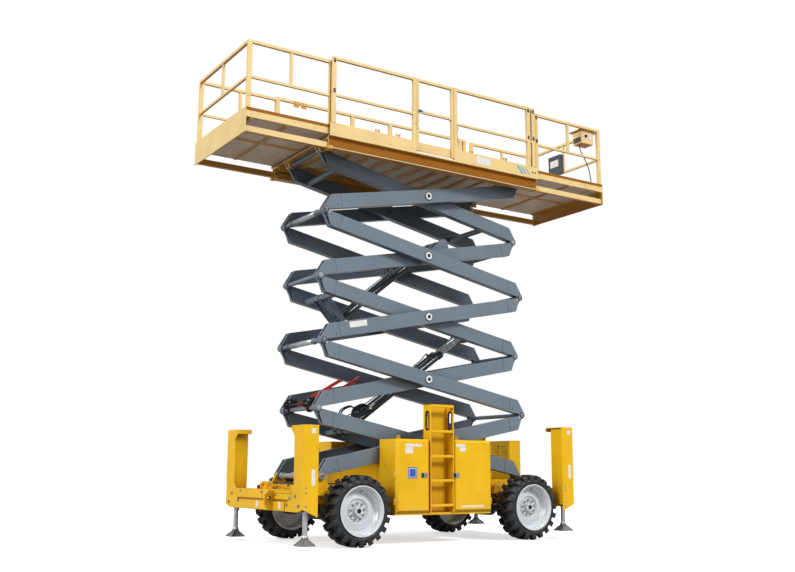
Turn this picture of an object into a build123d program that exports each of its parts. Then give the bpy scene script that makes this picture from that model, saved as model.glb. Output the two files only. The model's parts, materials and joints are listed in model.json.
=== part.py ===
from build123d import *
import os
from math import asin, atan2, cos, degrees, hypot, radians, sin, sqrt

# Rough-terrain scissor lift with five scissor stages, two extension decks and four outriggers.
# Millimetres, +X forward (steering end), +Y to the machine's left, +Z up, floor at Z = 0.
# While modelling, X = 0 is halfway between the axles; save() moves it to the middle of the
# whole machine's length.

# ---------------------------------------------------------------- driving dimensions
wheelbase = 2850
tyre_radius = 457
tyre_width = 320
rim_radius = 325            # outside of the rim flange
wheel_face_y = 1138         # outer edge of the rim
kingpin_y = 850
steer_limit = 30            # degrees each way

stages = 5
arm_height = 200
arm_width = 110
arm_wall = 8
stack_gap = 5               # between folded arms
stage_rise = 897            # height of one stage as it stands
inner_arm_y = 410           # inner face of the inner arms
arm_side_gap = 20           # between an inner and an outer arm
pivot_z = 892
pin_radius = 30
centre_pin_radius = 38
pin_clearance = 0.3
cheek_thickness = 30
tongue_thickness = 40
lift_limit = 48             # arm angle fully raised, degrees

deck_half_width = 915
deck_top_above_pin = 73     # main floor's top above the upper pins
toe_height = 178            # toe board above the main floor
rail_height = 1140          # main guard rail above the main floor
rail_size = 40
post_width = 60
rear_extension_reach = 1232     # how far each extended deck stands out of the main deck
front_extension_reach = 1440
extension_rail_drop = 44    # extension rails nest below the main top rail

outrigger_half_width = 1170
rear_column_length = 210
front_column_length = 215
tyre_to_column = 208        # rear tyre to its column; the front one is nearer
rear_column_top = 1524
front_column_top = 1602
column_bottom = 480
rear_foot_z = 52
front_foot_z = 112

box_face_y = 1090
box_top = 1381
box_bottom = 417
box_rear_x = -886
box_front_x = 705
ladder_x = (-340, 50)
ladder_top = 1850
ladder_back_y = 920
sheet = 15

frame_top = 782
frame_bottom = 540

# ---------------------------------------------------------------- worked-out sizes
rear_axle_x = -wheelbase / 2
front_axle_x = wheelbase / 2
rear_column_front = rear_axle_x - tyre_radius - tyre_to_column
rear_column_x = (rear_column_front - rear_column_length, rear_column_front)
front_column_rear = front_axle_x + tyre_radius + 68
front_column_x = (front_column_rear, front_column_rear + front_column_length)

pivot_x = rear_column_x[1] + 330            # fixed pins, at the rear
stowed_span = front_column_x[0] - 196 - pivot_x
arm_pitch = arm_height + stack_gap          # the two end pins sit at opposite edges of the tube
arm_length = hypot(stowed_span, arm_pitch)  # pin to pin
arm_run = stowed_span
lean = asin(arm_pitch / arm_length)         # pin line against tube axis
rest_angle = asin(stage_rise / arm_length)
tube_angle = rest_angle - lean
span = arm_length * cos(rest_angle)
raised_span = arm_length * cos(radians(lift_limit))
slide_x = pivot_x + span                    # rolling pins, at the front
top_pin_z = pivot_z + stages * stage_rise
lug_radius = pin_radius + 22
roller_radius = pin_radius + 20
outer_arm_y = inner_arm_y + arm_width + arm_side_gap
frame_beam_y = (inner_arm_y - 10, inner_arm_y + arm_width)
box_back_y = outer_arm_y + arm_width + 18

deck_rear_x = pivot_x - 106
deck_front_x = pivot_x + stowed_span + 92
rear_extension_end = deck_rear_x - rear_extension_reach
front_extension_end = deck_front_x + front_extension_reach
extension_half_width = deck_half_width - 47
floor_top = top_pin_z + deck_top_above_pin
main_rail_top = floor_top + rail_height
extension_rail_top = main_rail_top - extension_rail_drop
origin_x = (rear_extension_end + front_extension_end) / 2


# ---------------------------------------------------------------- helpers
def save(node, *pieces):
    """Write one node, moved so that X = 0 is the middle of the machine's length."""
    solids = []
    for piece in pieces:
        solids += piece.solids()
    shape = Compound(children=[s.moved(Location((-origin_x, 0, 0))) for s in solids])
    export_step(shape, f"parts/{node}.step")


def block(x0, x1, y0, y1, z0, z1):
    return Pos((x0 + x1) / 2, (y0 + y1) / 2, (z0 + z1) / 2) * Box(x1 - x0, y1 - y0, z1 - z0)


def plate_xz(points, y0, y1):
    """A plate cut to an outline of (x, z) points, lying between y0 and y1."""
    outline = make_face(Polyline(*points, close=True))
    return extrude(Plane.XZ.offset(-y1) * outline, amount=y1 - y0)


def plate_yz(points, x0, x1):
    """A plate cut to an outline of (y, z) points, lying between x0 and x1."""
    outline = make_face(Polyline(*points, close=True))
    return extrude(Plane.YZ.offset(x0) * outline, amount=x1 - x0)


def rod(start, end, radius, bore=0):
    """A round bar or tube from start to end."""
    run = Vector(*end) - Vector(*start)
    section = Circle(radius) - Circle(bore) if bore else Circle(radius)
    return extrude(Plane(origin=start, z_dir=run) * section, amount=run.length)


def cross_rod(x, z, y0, y1, radius, bore=0):
    return rod((x, y0, z), (x, y1, z), radius, bore)


def bar(start, end, width, height, side=(0, 1, 0)):
    """A square bar from start to end; width is measured along side."""
    run = Vector(*end) - Vector(*start)
    plane = Plane(origin=start, x_dir=side, z_dir=run)
    return extrude(plane * Rectangle(width, height), amount=run.length)


def both_sides(shape):
    return shape + mirror(shape, about=Plane.XZ)


def mirrored(shape):
    return mirror(shape, about=Plane.XZ)


def fuse(shapes):
    whole = shapes[0]
    for shape in shapes[1:]:
        whole = whole + shape
    return whole


# ---------------------------------------------------------------- scissor arms
def arm_plane(side, stage):
    """Plane of an arm: X along the tube from its lower pin, Y up across the tube, origin on
    the tube's axis. side is +1 where the lower pin is at the rear and -1 where at the front."""
    lower_x = pivot_x if side > 0 else slide_x
    lower_z = pivot_z + (stage - 1) * stage_rise
    along = Vector(side * cos(tube_angle), 0, sin(tube_angle))
    across = Vector(-side * sin(tube_angle), 0, cos(tube_angle))
    origin = Vector(lower_x, 0, lower_z) + across * (arm_pitch / 2)
    return Plane(origin=origin, x_dir=along, z_dir=(0, -side, 0))


def across_width(plane, outline, y0, y1):
    """Extrude an outline drawn in an arm's plane over the width from y0 to y1."""
    start = y0 if plane.z_dir.Y > 0 else y1
    origin = Vector(plane.origin.X, start, plane.origin.Z)
    placed = Plane(origin=origin, x_dir=plane.x_dir, z_dir=plane.z_dir) * outline
    return extrude(placed, amount=y1 - y0)


def at(plane, along, across=0):
    """World (x, z) of a point in an arm's plane."""
    point = plane.from_local_coords(Vector(along, across, 0))
    return point.X, point.Z


end_chamfer = 120           # the corner away from a pin is cut back by this much
end_piece = 260             # length of the thicker end of an arm
doubler = 2                 # how far that end stands proud of the tube's sides
knuckle_clear = lug_radius + 10


def end_outline(radius, reach):
    """Outline of an arm's end about its lower pin: a round nose whose back runs up the chamfer."""
    half = arm_height / 2
    pin = Vector(0, -arm_pitch / 2)
    corner = Vector(end_chamfer, half)
    gap = pin - corner
    turn = asin(radius / gap.length)
    tangent = corner + gap.rotate(Axis.Z, -degrees(turn)) * cos(turn)
    outline = make_face(Polyline((0, -half), (reach, -half), (reach, half), (corner.X, corner.Y),
                                 (tangent.X, tangent.Y), close=True))
    return outline + Pos(pin.X, pin.Y) * Circle(radius)


def tube_outline():
    half = arm_height / 2
    nose = (knuckle_clear / 2, -half + knuckle_clear)
    points = [(knuckle_clear, -half), nose, (end_chamfer, half)]
    points += [(arm_run - x, -z) for x, z in points]
    return make_face(Polyline(*points, close=True))


def arm(plane, y_in, centre_bore):
    """One hollow arm on the left side, with cheeks at its lower pin and a tongue at its upper."""
    y_out = y_in + arm_width
    y_mid = y_in + arm_width / 2
    cavity = Pos(arm_run / 2, 0) * Rectangle(arm_run + 400, arm_height - 2 * arm_wall)
    tube = across_width(plane, tube_outline(), y_in, y_out)
    tube -= across_width(plane, cavity, y_in + arm_wall, y_out - arm_wall)
    nose = end_outline(lug_radius, end_piece)
    tail = Pos(arm_run, 0) * Rot(0, 0, 180) * end_outline(lug_radius - 2, end_piece)
    tube += across_width(plane, nose, y_in - doubler, y_in + cheek_thickness)
    tube += across_width(plane, nose, y_out - cheek_thickness, y_out + doubler)
    tube += across_width(plane, tail, y_mid - tongue_thickness / 2, y_mid + tongue_thickness / 2)
    upper_end = tube_outline() & Pos(arm_run - end_piece / 2, 0) * Rectangle(end_piece, 2 * arm_height)
    for y0 in (y_in - doubler, y_out):
        tube += across_width(plane, upper_end, y0, y0 + doubler)
    bore = Pos(0, -arm_pitch / 2) * Circle(pin_radius + pin_clearance)
    tube -= across_width(plane, bore, y_in - doubler - 1, y_out + doubler + 1)
    if centre_bore:
        boss = Pos(arm_run / 2, 0) * (Circle(65) - Circle(centre_pin_radius + pin_clearance))
        hole = Pos(arm_run / 2, 0) * Circle(centre_pin_radius + pin_clearance)
        tube += across_width(plane, boss, y_in, y_out)
        tube -= across_width(plane, hole, y_in - 1, y_out + 1)
    return tube


head = 8                    # how far pin heads stand off an arm's side
cylinder_spread = 90        # the lift cylinders lie this far each side of the middle
shaft_radius = 35           # shafts through the cylinders' base eyes
tube_radius = 45            # cross tubes that carry the cylinders
inner_tube_radius = 42      # plain cross tubes between the inner arms

# inner stage, share of the arm's run from its lower pin, offset from the tube's axis
lower_base = (1, 0.802, -55)
lower_head = (3, 0.209, 55)
upper_base = (3, 0.8147, -293)
upper_head = (4, 0.6158, 156)

inner_cross_tubes = {
    # stage: (along, across) of each plain cross tube
    1: [(520, -55)],
    2: [(3150, -55)],
    4: [(3150, -55)],
    5: [(540, -55), (3186, -55)],
}


def outer_arms(stage):
    side = 1 if stage % 2 else -1
    plane = arm_plane(side, stage)
    y_out = outer_arm_y + arm_width
    one = arm(plane, outer_arm_y, False)
    cx, cz = at(plane, arm_run / 2)
    one += cross_rod(cx, cz, inner_arm_y - head, y_out + head, centre_pin_radius, 16)
    one += cross_rod(cx, cz, y_out, y_out + head, centre_pin_radius + 10, 16)
    one += cross_rod(cx, cz, inner_arm_y + arm_width + 0.3, outer_arm_y, 60, 16)
    bx, bz = at(plane, arm_run, arm_pitch / 2)
    one += cross_rod(bx, bz, y_out + doubler + 0.3, y_out + head, pin_radius + 8)
    pair = one + mirrored(one)
    pair += cross_rod(bx, bz, -(y_out + head), y_out + head, pin_radius)
    if stage == stages:
        for y0 in (outer_arm_y, y_out - 32):
            pair += both_sides(cross_rod(bx, bz, y0, y0 + 32, roller_radius))
    return pair


def inner_arms(stage):
    side = -1 if stage % 2 else 1
    plane = arm_plane(side, stage)
    y_out = inner_arm_y + arm_width
    one = arm(plane, inner_arm_y, True)
    bx, bz = at(plane, arm_run, arm_pitch / 2)
    pair = one + mirrored(one)
    pair += cross_rod(bx, bz, -(y_out + head), y_out + head, pin_radius)
    if stage == 1:
        ax, az = at(plane, 0, -arm_pitch / 2)
        pair += both_sides(cross_rod(ax, az, inner_arm_y - head, y_out + head, pin_radius))
        roller = cross_rod(ax, az, inner_arm_y + cheek_thickness + 2,
                           y_out - cheek_thickness - 2, roller_radius)
        pair += both_sides(roller)
    wall_y = inner_arm_y + arm_wall
    for tube_at in inner_cross_tubes.get(stage, []):
        pair += cross_rod(*at(plane, *tube_at), -wall_y, wall_y, inner_tube_radius)
    if stage == 1:
        base = at(plane, lower_base[1] * arm_run, lower_base[2])
        pair += cross_rod(*base, -wall_y, wall_y, shaft_radius) + shaft_collars(base)
    if stage == 3:
        pin = (lower_head[1] * arm_run, lower_head[2])
        pair += tube_with_ears(plane, (pin[0] - 110, pin[1] - 5), pin, wall_y)
        pin = (upper_base[1] * arm_run, upper_base[2])
        pair += tube_with_ears(plane, (pin[0] + 323, pin[1] + 239), pin, wall_y)
        base = at(plane, *pin)
        pair += cross_rod(*base, -cylinder_spread - 82, cylinder_spread + 82, shaft_radius)
        pair += shaft_collars(base)
    if stage == 4:
        pin = (upper_head[1] * arm_run, upper_head[2])
        tube_at = (pin[0] + 100, pin[1] + 50)
        pair += tube_with_ears(plane, tube_at, pin, inner_arm_y - 12)
        lug = make_hull((Pos(*tube_at) * Circle(58)).edges()
                        + (Pos(tube_at[0] - 340, 60) * Circle(20)).edges()
                        + (Pos(tube_at[0] + 60, 60) * Circle(20)).edges())
        pad = Pos(tube_at[0] - 140, 40) * Rectangle(400, 80)
        pair += both_sides(across_width(plane, lug, inner_arm_y - 38, inner_arm_y - 10))
        pair += both_sides(across_width(plane, pad, inner_arm_y - 12, inner_arm_y + 1))
    return pair


def shaft_collars(base):
    """Collars each side of the two base eyes on a cylinder shaft."""
    collars = []
    for y in (-cylinder_spread, cylinder_spread):
        for y0 in (y - 52, y + 42):
            collars.append(cross_rod(*base, y0, y0 + 10, shaft_radius + 8))
    return fuse(collars)


def tube_with_ears(plane, tube_at, pin, half_width):
    """A cross tube with a pair of ears reaching from it to each cylinder's pin."""
    tube = cross_rod(*at(plane, *tube_at), -half_width, half_width, tube_radius)
    outline = make_hull((Pos(*tube_at) * Circle(tube_radius + 7)).edges()
                        + (Pos(*pin) * Circle(shaft_radius + 7)).edges())
    for y in (-cylinder_spread, cylinder_spread):
        for ear in (y - 74, y + 54):
            tube += across_width(plane, outline, ear, ear + 20)
    return tube


# ---------------------------------------------------------------- lift cylinders
barrel_radius = 48
lift_pairs = {
    # name: base, head, rod radius, base shaft to the barrel's mouth, rod length
    "lower": (lower_base, lower_head, 32, 2030, 1990),
    "upper": (upper_base, upper_head, 29, 1450, 1480),
}


def cylinder_ends(name):
    """World (x, z) of a pair's base shaft and of its head pin."""
    ends = []
    for stage, share, offset in lift_pairs[name][:2]:
        plane = arm_plane(-1 if stage % 2 else 1, stage)
        ends.append(at(plane, share * arm_run, offset))
    return ends


def lift_cylinders(name):
    (x0, z0), (x1, z1) = cylinder_ends(name)
    rod_radius, closed_length, rod_length = lift_pairs[name][2:]
    length = hypot(x1 - x0, z1 - z0)
    ux, uz = (x1 - x0) / length, (z1 - z0) / length

    def along(y, distance):
        return x0 + distance * ux, y, z0 + distance * uz

    barrels, rods = [], []
    for y in (-cylinder_spread, cylinder_spread):
        barrel = cross_rod(x0, z0, y - 39, y + 39, 58)
        barrel += rod(along(y, 45), along(y, closed_length), barrel_radius)
        barrel += rod(along(y, closed_length - 60), along(y, closed_length), barrel_radius + 6)
        barrel -= rod(along(y, 75), along(y, closed_length + 1), rod_radius + 0.3)
        barrel -= cross_rod(x0, z0, y - 60, y + 60, shaft_radius + 0.3)
        barrels.append(barrel)
        shaft = rod(along(y, length - rod_length), along(y, length - 30), rod_radius)
        rods.append(shaft + cross_rod(x1, z1, y - 34, y + 34, 38))
    tie_y = cylinder_spread - 40
    tie = rod(along(-tie_y, 400), along(tie_y, 400), 20)
    return fuse(barrels) + tie, rods


# ---------------------------------------------------------------- wheels and axles
axle_z = tyre_radius
tyre_y = wheel_face_y - 8


def wheel(x, side):
    """Tyre and rim of the wheel at x, turned about the axle; side is +1 on the left."""
    y_out, y_in = tyre_y, tyre_y - tyre_width
    mid = (y_out + y_in) / 2
    half = tyre_width / 2
    profile = Polyline((mid - half + 25, rim_radius - 12), (mid - half, rim_radius + 40),
                       (mid - half + 10, tyre_radius - 45), (mid - half + 35, tyre_radius),
                       (mid + half - 35, tyre_radius), (mid + half - 10, tyre_radius - 45),
                       (mid + half, rim_radius + 40), (mid + half - 25, rim_radius - 12), close=True)
    tyre = revolve(Plane.YZ * make_face(profile), Axis.Y)
    dish = wheel_face_y - 150
    ring = Polyline((wheel_face_y, rim_radius - 18), (wheel_face_y, rim_radius - 4),
                    (y_out - 24, rim_radius - 12.3), (y_in + 24, rim_radius - 12.3),
                    (y_in + 4, rim_radius + 2), (y_in + 4, rim_radius - 14),
                    (dish - 14, rim_radius - 40), (dish - 14, 60), (dish, 60), (dish, 130),
                    (dish + 30, 160), (dish + 10, rim_radius - 70), (dish + 60, rim_radius - 34),
                    close=True)
    rim = revolve(Plane.YZ * make_face(ring), Axis.Y)
    place = Pos(x, 0, axle_z)
    tyre, rim = place * tyre, place * rim
    if side < 0:
        tyre, rim = mirrored(tyre), mirrored(rim)
    return tyre, rim


hub_y = wheel_face_y - 150 - 14.3


def rear_axle():
    beam = block(rear_axle_x - 70, rear_axle_x + 70, -(tyre_y - tyre_width - 30),
                 tyre_y - tyre_width - 30, axle_z - 60, axle_z + 70)
    case = rod((rear_axle_x, -130, axle_z), (rear_axle_x, 130, axle_z), 150)
    hub = cross_rod(rear_axle_x, axle_z, tyre_y - tyre_width - 60, hub_y, 110)
    hub += cross_rod(rear_axle_x, axle_z, hub_y, hub_y + 60, 59.5)
    pads = block(rear_axle_x - 90, rear_axle_x + 90, frame_beam_y[0], frame_beam_y[1],
                 axle_z + 70, frame_bottom)
    return beam + case + both_sides(hub) + both_sides(pads)


def front_axle():
    yoke_in = kingpin_y - 70
    beam = block(front_axle_x - 60, front_axle_x + 60, -yoke_in, yoke_in, axle_z - 60, axle_z + 70)
    case = rod((front_axle_x, -130, axle_z), (front_axle_x, 130, axle_z), 150)
    arms = block(front_axle_x - 50, front_axle_x + 50, yoke_in - 40, kingpin_y + 45,
                 axle_z - 150, axle_z + 150)
    arms -= block(front_axle_x - 51, front_axle_x + 51, yoke_in, kingpin_y + 46,
                  axle_z - 110, axle_z + 110)
    arms -= rod((front_axle_x, kingpin_y, axle_z - 160), (front_axle_x, kingpin_y, axle_z + 160), 22.3)
    pads = block(front_axle_x - 90, front_axle_x + 90, frame_beam_y[0], frame_beam_y[1],
                 axle_z + 70, frame_bottom)
    return beam + case + both_sides(arms) + both_sides(pads)


def knuckle(side):
    body = block(front_axle_x - 45, front_axle_x + 45, kingpin_y - 45, kingpin_y + 45,
                 axle_z - 109.7, axle_z + 109.7)
    body += cross_rod(front_axle_x, axle_z, kingpin_y, hub_y, 90)
    body += cross_rod(front_axle_x, axle_z, hub_y - 1, hub_y + 60, 59.5)
    body += rod((front_axle_x, kingpin_y, axle_z - 155), (front_axle_x, kingpin_y, axle_z + 155), 22)
    body += block(front_axle_x - 190, front_axle_x, kingpin_y - 30, kingpin_y + 10,
                  axle_z - 20, axle_z + 20)
    return body if side > 0 else mirrored(body)


# ---------------------------------------------------------------- chassis
def chassis_frame():
    rear, front = rear_column_x[1], front_column_x[0]
    beams = block(rear, front, *frame_beam_y, frame_bottom, frame_top)
    beams = both_sides(beams)
    for x in (rear + 60, -1180, -700, -60, 600, 1100, front - 180):
        beams += block(x, x + 90, -frame_beam_y[0], frame_beam_y[0], frame_bottom + 30, frame_top - 30)
    lug_mid = outer_arm_y + arm_width / 2
    t = tongue_thickness / 2
    lug_points = [(pivot_x - 160, frame_top - 60), (pivot_x + 160, frame_top - 60),
                  (pivot_x + 45, pivot_z + 20), (pivot_x - 45, pivot_z + 20)]
    lugs = plate_xz(lug_points, lug_mid - t, lug_mid + t)
    lugs += cross_rod(pivot_x, pivot_z, lug_mid - t, lug_mid + t, lug_radius - 2)
    lugs += cross_rod(pivot_x, pivot_z, outer_arm_y - 6, outer_arm_y + arm_width + head, pin_radius)
    lugs += cross_rod(pivot_x, pivot_z, outer_arm_y + arm_width + doubler + 0.3,
                      outer_arm_y + arm_width + head, pin_radius + 8)
    lugs += block(pivot_x - 180, pivot_x + 180, frame_beam_y[1] - 10, lug_mid + 55,
                  frame_top - 140, frame_top - 60)
    rail_mid = inner_arm_y + arm_width / 2
    rail_top = pivot_z - roller_radius - 0.3
    track = block(pivot_x + raised_span - 60, pivot_x + stowed_span + 60, rail_mid - 18, rail_mid + 18,
                  frame_top, rail_top)
    beams += both_sides(lugs) + both_sides(track)
    tray = block(box_rear_x, box_front_x, frame_beam_y[1] - 10, box_face_y - 45,
                 box_bottom - 30, box_bottom)
    tray += block(box_rear_x + 60, box_front_x - 60, frame_beam_y[1] - 10, frame_beam_y[1] + 20,
                  box_bottom - 30, frame_bottom + 60)
    return beams + both_sides(tray)


column_y = (905, outrigger_half_width)
cap_reach = 75              # the column's cap overhangs inwards by this much
beam_z = (455, 575, 600, 720)   # lower tier of the cross-beam, groove, upper tier
face_rim = 35               # width of the column's outer sheet left proud at its inner edge


def outrigger_frame(xs, top, end):
    """Cross-beam with a jack column at each side; end is -1 at the rear, +1 at the front."""
    x0, x1 = xs
    outer_x, inner_x = (x0, x1) if end < 0 else (x1, x0)
    y0, y1 = column_y
    skin = 12
    body_x = sorted((outer_x - end * skin, inner_x))
    column = block(*body_x, y0 + face_rim, y1 - 10, column_bottom + 10, top - 30)
    side_sheet = plate_xz([(outer_x, column_bottom + 12), (inner_x, column_bottom - 85),
                           (inner_x, top), (outer_x, top)], y1 - 10, y1)
    cap = block(x0, x1, y0 - cap_reach, y1 - 5, top - 14, top)
    lip = block(x0, x1, y0 - cap_reach, y0 - cap_reach + 10, top - 60, top)
    # the outer sheet runs up from the cross-beam, narrows for the column and flares under the cap
    sheet_points = [(0, beam_z[0]), (y1 - 150, beam_z[0]), (y1, column_bottom + 12), (y1, top),
                    (y0 - cap_reach, top), (y0 - cap_reach, top - 60), (y0 - 30, top - 90),
                    (y0 + 12, top - 150), (y0 + 12, beam_z[3] + 70), (y0 - 60, beam_z[3]),
                    (0, beam_z[3])]
    outer_sheet = plate_yz(sheet_points, *sorted((outer_x, outer_x - end * skin)))
    column += side_sheet + cap + lip + outer_sheet
    jack_x = (x0 + x1) / 2
    column -= rod((jack_x, jack_y, column_bottom - 100), (jack_x, jack_y, top - 80), jack_radius + 0.3)
    beam = block(x0, x1, -y0 - face_rim - 1, y0 + face_rim + 1, beam_z[0], beam_z[3])
    groove = block(*sorted((outer_x - end * 26, outer_x + end)), -y0 + 130, y0 - 130, beam_z[1], beam_z[2])
    frame = both_sides(column) + beam - groove
    if end < 0:
        # towing eye standing out of the rear cross-beam
        x_out = outer_x - 130
        eye = plate_xz([(outer_x + 2, beam_z[3] - 12), (x_out + 60, beam_z[3] - 2), (x_out, 650),
                        (x_out, 545), (x_out + 50, beam_z[0] + 8), (outer_x + 2, beam_z[0] + 8)],
                       tow_eye_y - 15, tow_eye_y + 15)
        eye -= cross_rod(x_out + 58, 615, tow_eye_y - 16, tow_eye_y + 16, tow_eye_radius)
        frame += eye
    return frame


jack_y = 1040
tow_eye_y = -350
tow_eye_radius = 32
jack_radius = 32


def jack_leg(xs, top, side, foot_z):
    x, y = (xs[0] + xs[1]) / 2, jack_y
    leg = rod((x, y, foot_z + 60), (x, y, top - 400), jack_radius)
    profile = Polyline((0, 0), (145, 0), (145, 12), (62, 62), (48, 100), (0, 100), close=True)
    foot = Pos(x, y, foot_z) * revolve(Plane.XZ * make_face(profile), Axis.Z)
    leg += foot
    return leg if side > 0 else mirrored(leg)


def side_box(x0, x1):
    """One equipment box on the left side, open at its outer face."""
    front = box_face_y - door_depth - 0.3
    shell = block(x0, x1, box_back_y, front, box_bottom, box_top)
    shell -= block(x0 + sheet, x1 - sheet, box_back_y + sheet, front + 1,
                   box_bottom + sheet, box_top - sheet)
    mid = (x0 + x1) / 2
    ring = plate_xz([(mid - 32, box_top - 2), (mid + 32, box_top - 2), (mid + 18, box_top + 48),
                     (mid - 18, box_top + 48)], box_back_y + 40, box_back_y + 52)
    ring += cross_rod(mid, box_top + 40, box_back_y + 40, box_back_y + 52, 24)
    ring -= cross_rod(mid, box_top + 40, box_back_y + 39, box_back_y + 53, lifting_eye_radius)
    return shell + ring + box_knuckles(x0, x1)


door_depth = 42
lifting_eye_radius = 13
door_bevel = 32
door_gap = 6
hinge_radius = 10
hinge_axis_out = hinge_radius + 0.5     # the hinge pins stand this far off a box's outer end
hinge_z = (560, 910, 1240)
hinge_length = 40


def hinge_line(x0, x1):
    """Where a box's door turns, in x and y, and which way its outer end faces."""
    if x0 == box_rear_x:
        return x0 - hinge_axis_out, box_face_y - door_depth, -1
    return x1 + hinge_axis_out, box_face_y - door_depth, 1


def box_knuckles(x0, x1):
    """Hinge barrels on the box's end wall, each below one of the door's."""
    x, y, end = hinge_line(x0, x1)
    leaf_x = sorted((x - end * 6.5, x - end * (hinge_axis_out + 5)))
    parts = []
    for z in hinge_z:
        barrel = rod((x, y, z - hinge_length), (x, y, z - 0.5), hinge_radius)
        parts.append(barrel + block(*leaf_x, y - 30, y - 1.5, z - hinge_length, z - 0.5))
    return fuse(parts)


def door_knuckles(x0, x1):
    x, y, end = hinge_line(x0, x1)
    leaf_x = sorted((x - end * 6.5, x - end * (hinge_axis_out + 5)))
    parts = []
    for z in hinge_z:
        barrel = rod((x, y, z), (x, y, z + hinge_length), hinge_radius)
        parts.append(barrel + block(*leaf_x, y + 1, y + 9, z, z + hinge_length))
    return fuse(parts)


def door(x0, x1):
    """A door on the left side with bevelled edges, clear of the ladder as it swings."""
    y0, y1 = box_face_y - door_depth, box_face_y
    a = x0 if x0 == box_rear_x else x0 + door_gap
    b = x1 if x1 == box_front_x else x1 - door_gap
    slab = block(a, b, y0, y1, box_bottom, box_top)
    slab = chamfer(slab.faces().sort_by(Axis.Y)[-1].edges(), door_bevel)
    return slab + door_knuckles(x0, x1)


box_mid_x = (box_rear_x + box_front_x) / 2
box_spans = {
    # hand: rear box, front box; the ladder stands between the right-hand ones
    "right": {"rear": (box_rear_x, ladder_x[0]), "front": (ladder_x[1], box_front_x)},
    "left": {"rear": (box_rear_x, box_mid_x - 2), "front": (box_mid_x + 2, box_front_x)},
}


def battery_pack():
    """Main battery, one plain block standing in the left front box."""
    x0, x1 = box_spans["left"]["front"]
    return block(x0 + 60, x1 - 60, box_back_y + sheet + 30, box_face_y - door_depth - 40,
                 box_bottom + sheet, box_bottom + 620)


hood_x = (1815, 2030)
hood_y = (-135, 420)
hood_top = 1425


def front_hood():
    """Louvred sheet hood standing on the front cross-beam, open at its bottom."""
    x0, x1 = hood_x
    y0, y1 = hood_y
    foot = frame_top + 0.3
    hood = block(x0, x1, y0, y1, foot, hood_top) - block(x0 + 4, x1 - 4, y0 + 4, y1 - 4, foot - 1, hood_top - 4)
    for row in range(5):
        for y in (y0 + 70, y0 + 260):
            z = hood_top - 70 - row * 46
            hood -= block(x0 - 1, x0 + 5, y, y + 110, z - 9, z + 9)
    sill = block(front_column_x[0] + 0.3, x1, y0, y1, beam_z[3] + 0.3, foot + 2)
    return hood + sill


def ladder():
    x0, x1 = ladder_x
    wall = 12
    y0, y1 = ladder_back_y, box_face_y
    tower = block(x0, x1, y0, y1, box_bottom, ladder_top) \
        - block(x0 + wall, x1 - wall, y0 + wall, y1 + 1, box_bottom - 1, ladder_top + 1)
    slot = Pos(0, (y0 + y1) / 2 + 10, 1636) * Rot(0, 90, 0) * extrude(SlotOverall(250, 80), amount=800, both=True)
    tower -= slot
    for z in (509, 835, 1158, 1491, ladder_top - 15):
        tower += block(x0 + wall, x1 - wall, y1 - 45, y1, z - 15, z + 15)
    return mirrored(tower)


# ---------------------------------------------------------------- platform
floor_thickness = 10
floor_under = floor_top - floor_thickness
beam_depth = 210            # main side beams, down from the floor
beam_bottom = floor_top - beam_depth
web_y = (outer_arm_y - 12, outer_arm_y - 6)     # inner wall of the roller channels
channel_out_y = (outer_arm_y + arm_width + 13, outer_arm_y + arm_width + 19)    # their outer wall
channel_lip = 27            # inner wall, short enough for the roller shaft to pass under
crossbar_depth = 25
low_bar_y = (deck_half_width - 120, deck_half_width - 70)   # beams that carry the extensions
low_bar_z = (floor_top - 170, floor_top - 90)
extension_floor = floor_top + 36
extension_toe_top = floor_top + 156
rail_mid_z = floor_top + 600
gate_x = (-440, 220)
crossbars = 13
crossbar_step = (deck_front_x - 60 - deck_rear_x) / (crossbars - 1)
crossbar_x = [deck_rear_x + n * crossbar_step for n in range(crossbars)]


def deck_frame():
    y1 = deck_half_width
    x0, x1 = deck_rear_x, deck_front_x
    side = block(x0, x1, y1 - 10, y1, floor_top, floor_top + toe_height)
    side += block(x0, x1, y1 - 60, y1 - 50, beam_bottom + 30, floor_top)
    side += block(x0, x1, y1 - 60, y1, floor_top - 10, floor_top)
    side += block(x0, x1, low_bar_y[0] - 5, y1, beam_bottom + 25, beam_bottom + 37)
    side += block(x0, x1, *web_y, floor_under - channel_lip, floor_under)
    side += block(x0, x1, *channel_out_y, floor_under - 100, floor_under)
    rail_bottom = top_pin_z + roller_radius + 0.3
    side += block(pivot_x + raised_span - 60, pivot_x + stowed_span + 60,
                  web_y[0], channel_out_y[1], rail_bottom, floor_under)
    for x in crossbar_x:
        side += block(x, x + 60, channel_out_y[1] - 1, y1 - 55, floor_under - 40, floor_under)
    whole = both_sides(side)
    for x in crossbar_x:
        whole += block(x, x + 60, -web_y[0] - 1, web_y[0] + 1, floor_under - crossbar_depth, floor_under)
        whole += both_sides(block(x, x + 60, web_y[1] - 1, channel_out_y[0] + 1,
                                  floor_under - 12, floor_under))
    whole -= block(gate_x[0] - 5, gate_x[1] + 5, -y1 - 1, -y1 + 11, floor_top + 10, floor_top + toe_height + 1)
    tongue_y = inner_arm_y + arm_width / 2
    for y0 in (inner_arm_y, tongue_y + tongue_thickness / 2 + 5):
        plate = plate_xz([(pivot_x - 100, floor_under), (pivot_x - 52, top_pin_z),
                          (pivot_x + 52, top_pin_z), (pivot_x + 100, floor_under)], y0, y0 + 30)
        plate += cross_rod(pivot_x, top_pin_z, y0, y0 + 30, lug_radius)
        plate -= cross_rod(pivot_x, top_pin_z, y0 - 1, y0 + 31, pin_radius + pin_clearance)
        whole += both_sides(plate)
    return whole


def deck_floor():
    half = deck_half_width - 60
    return block(deck_rear_x, deck_front_x, -half, half, floor_under, floor_top)


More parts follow.
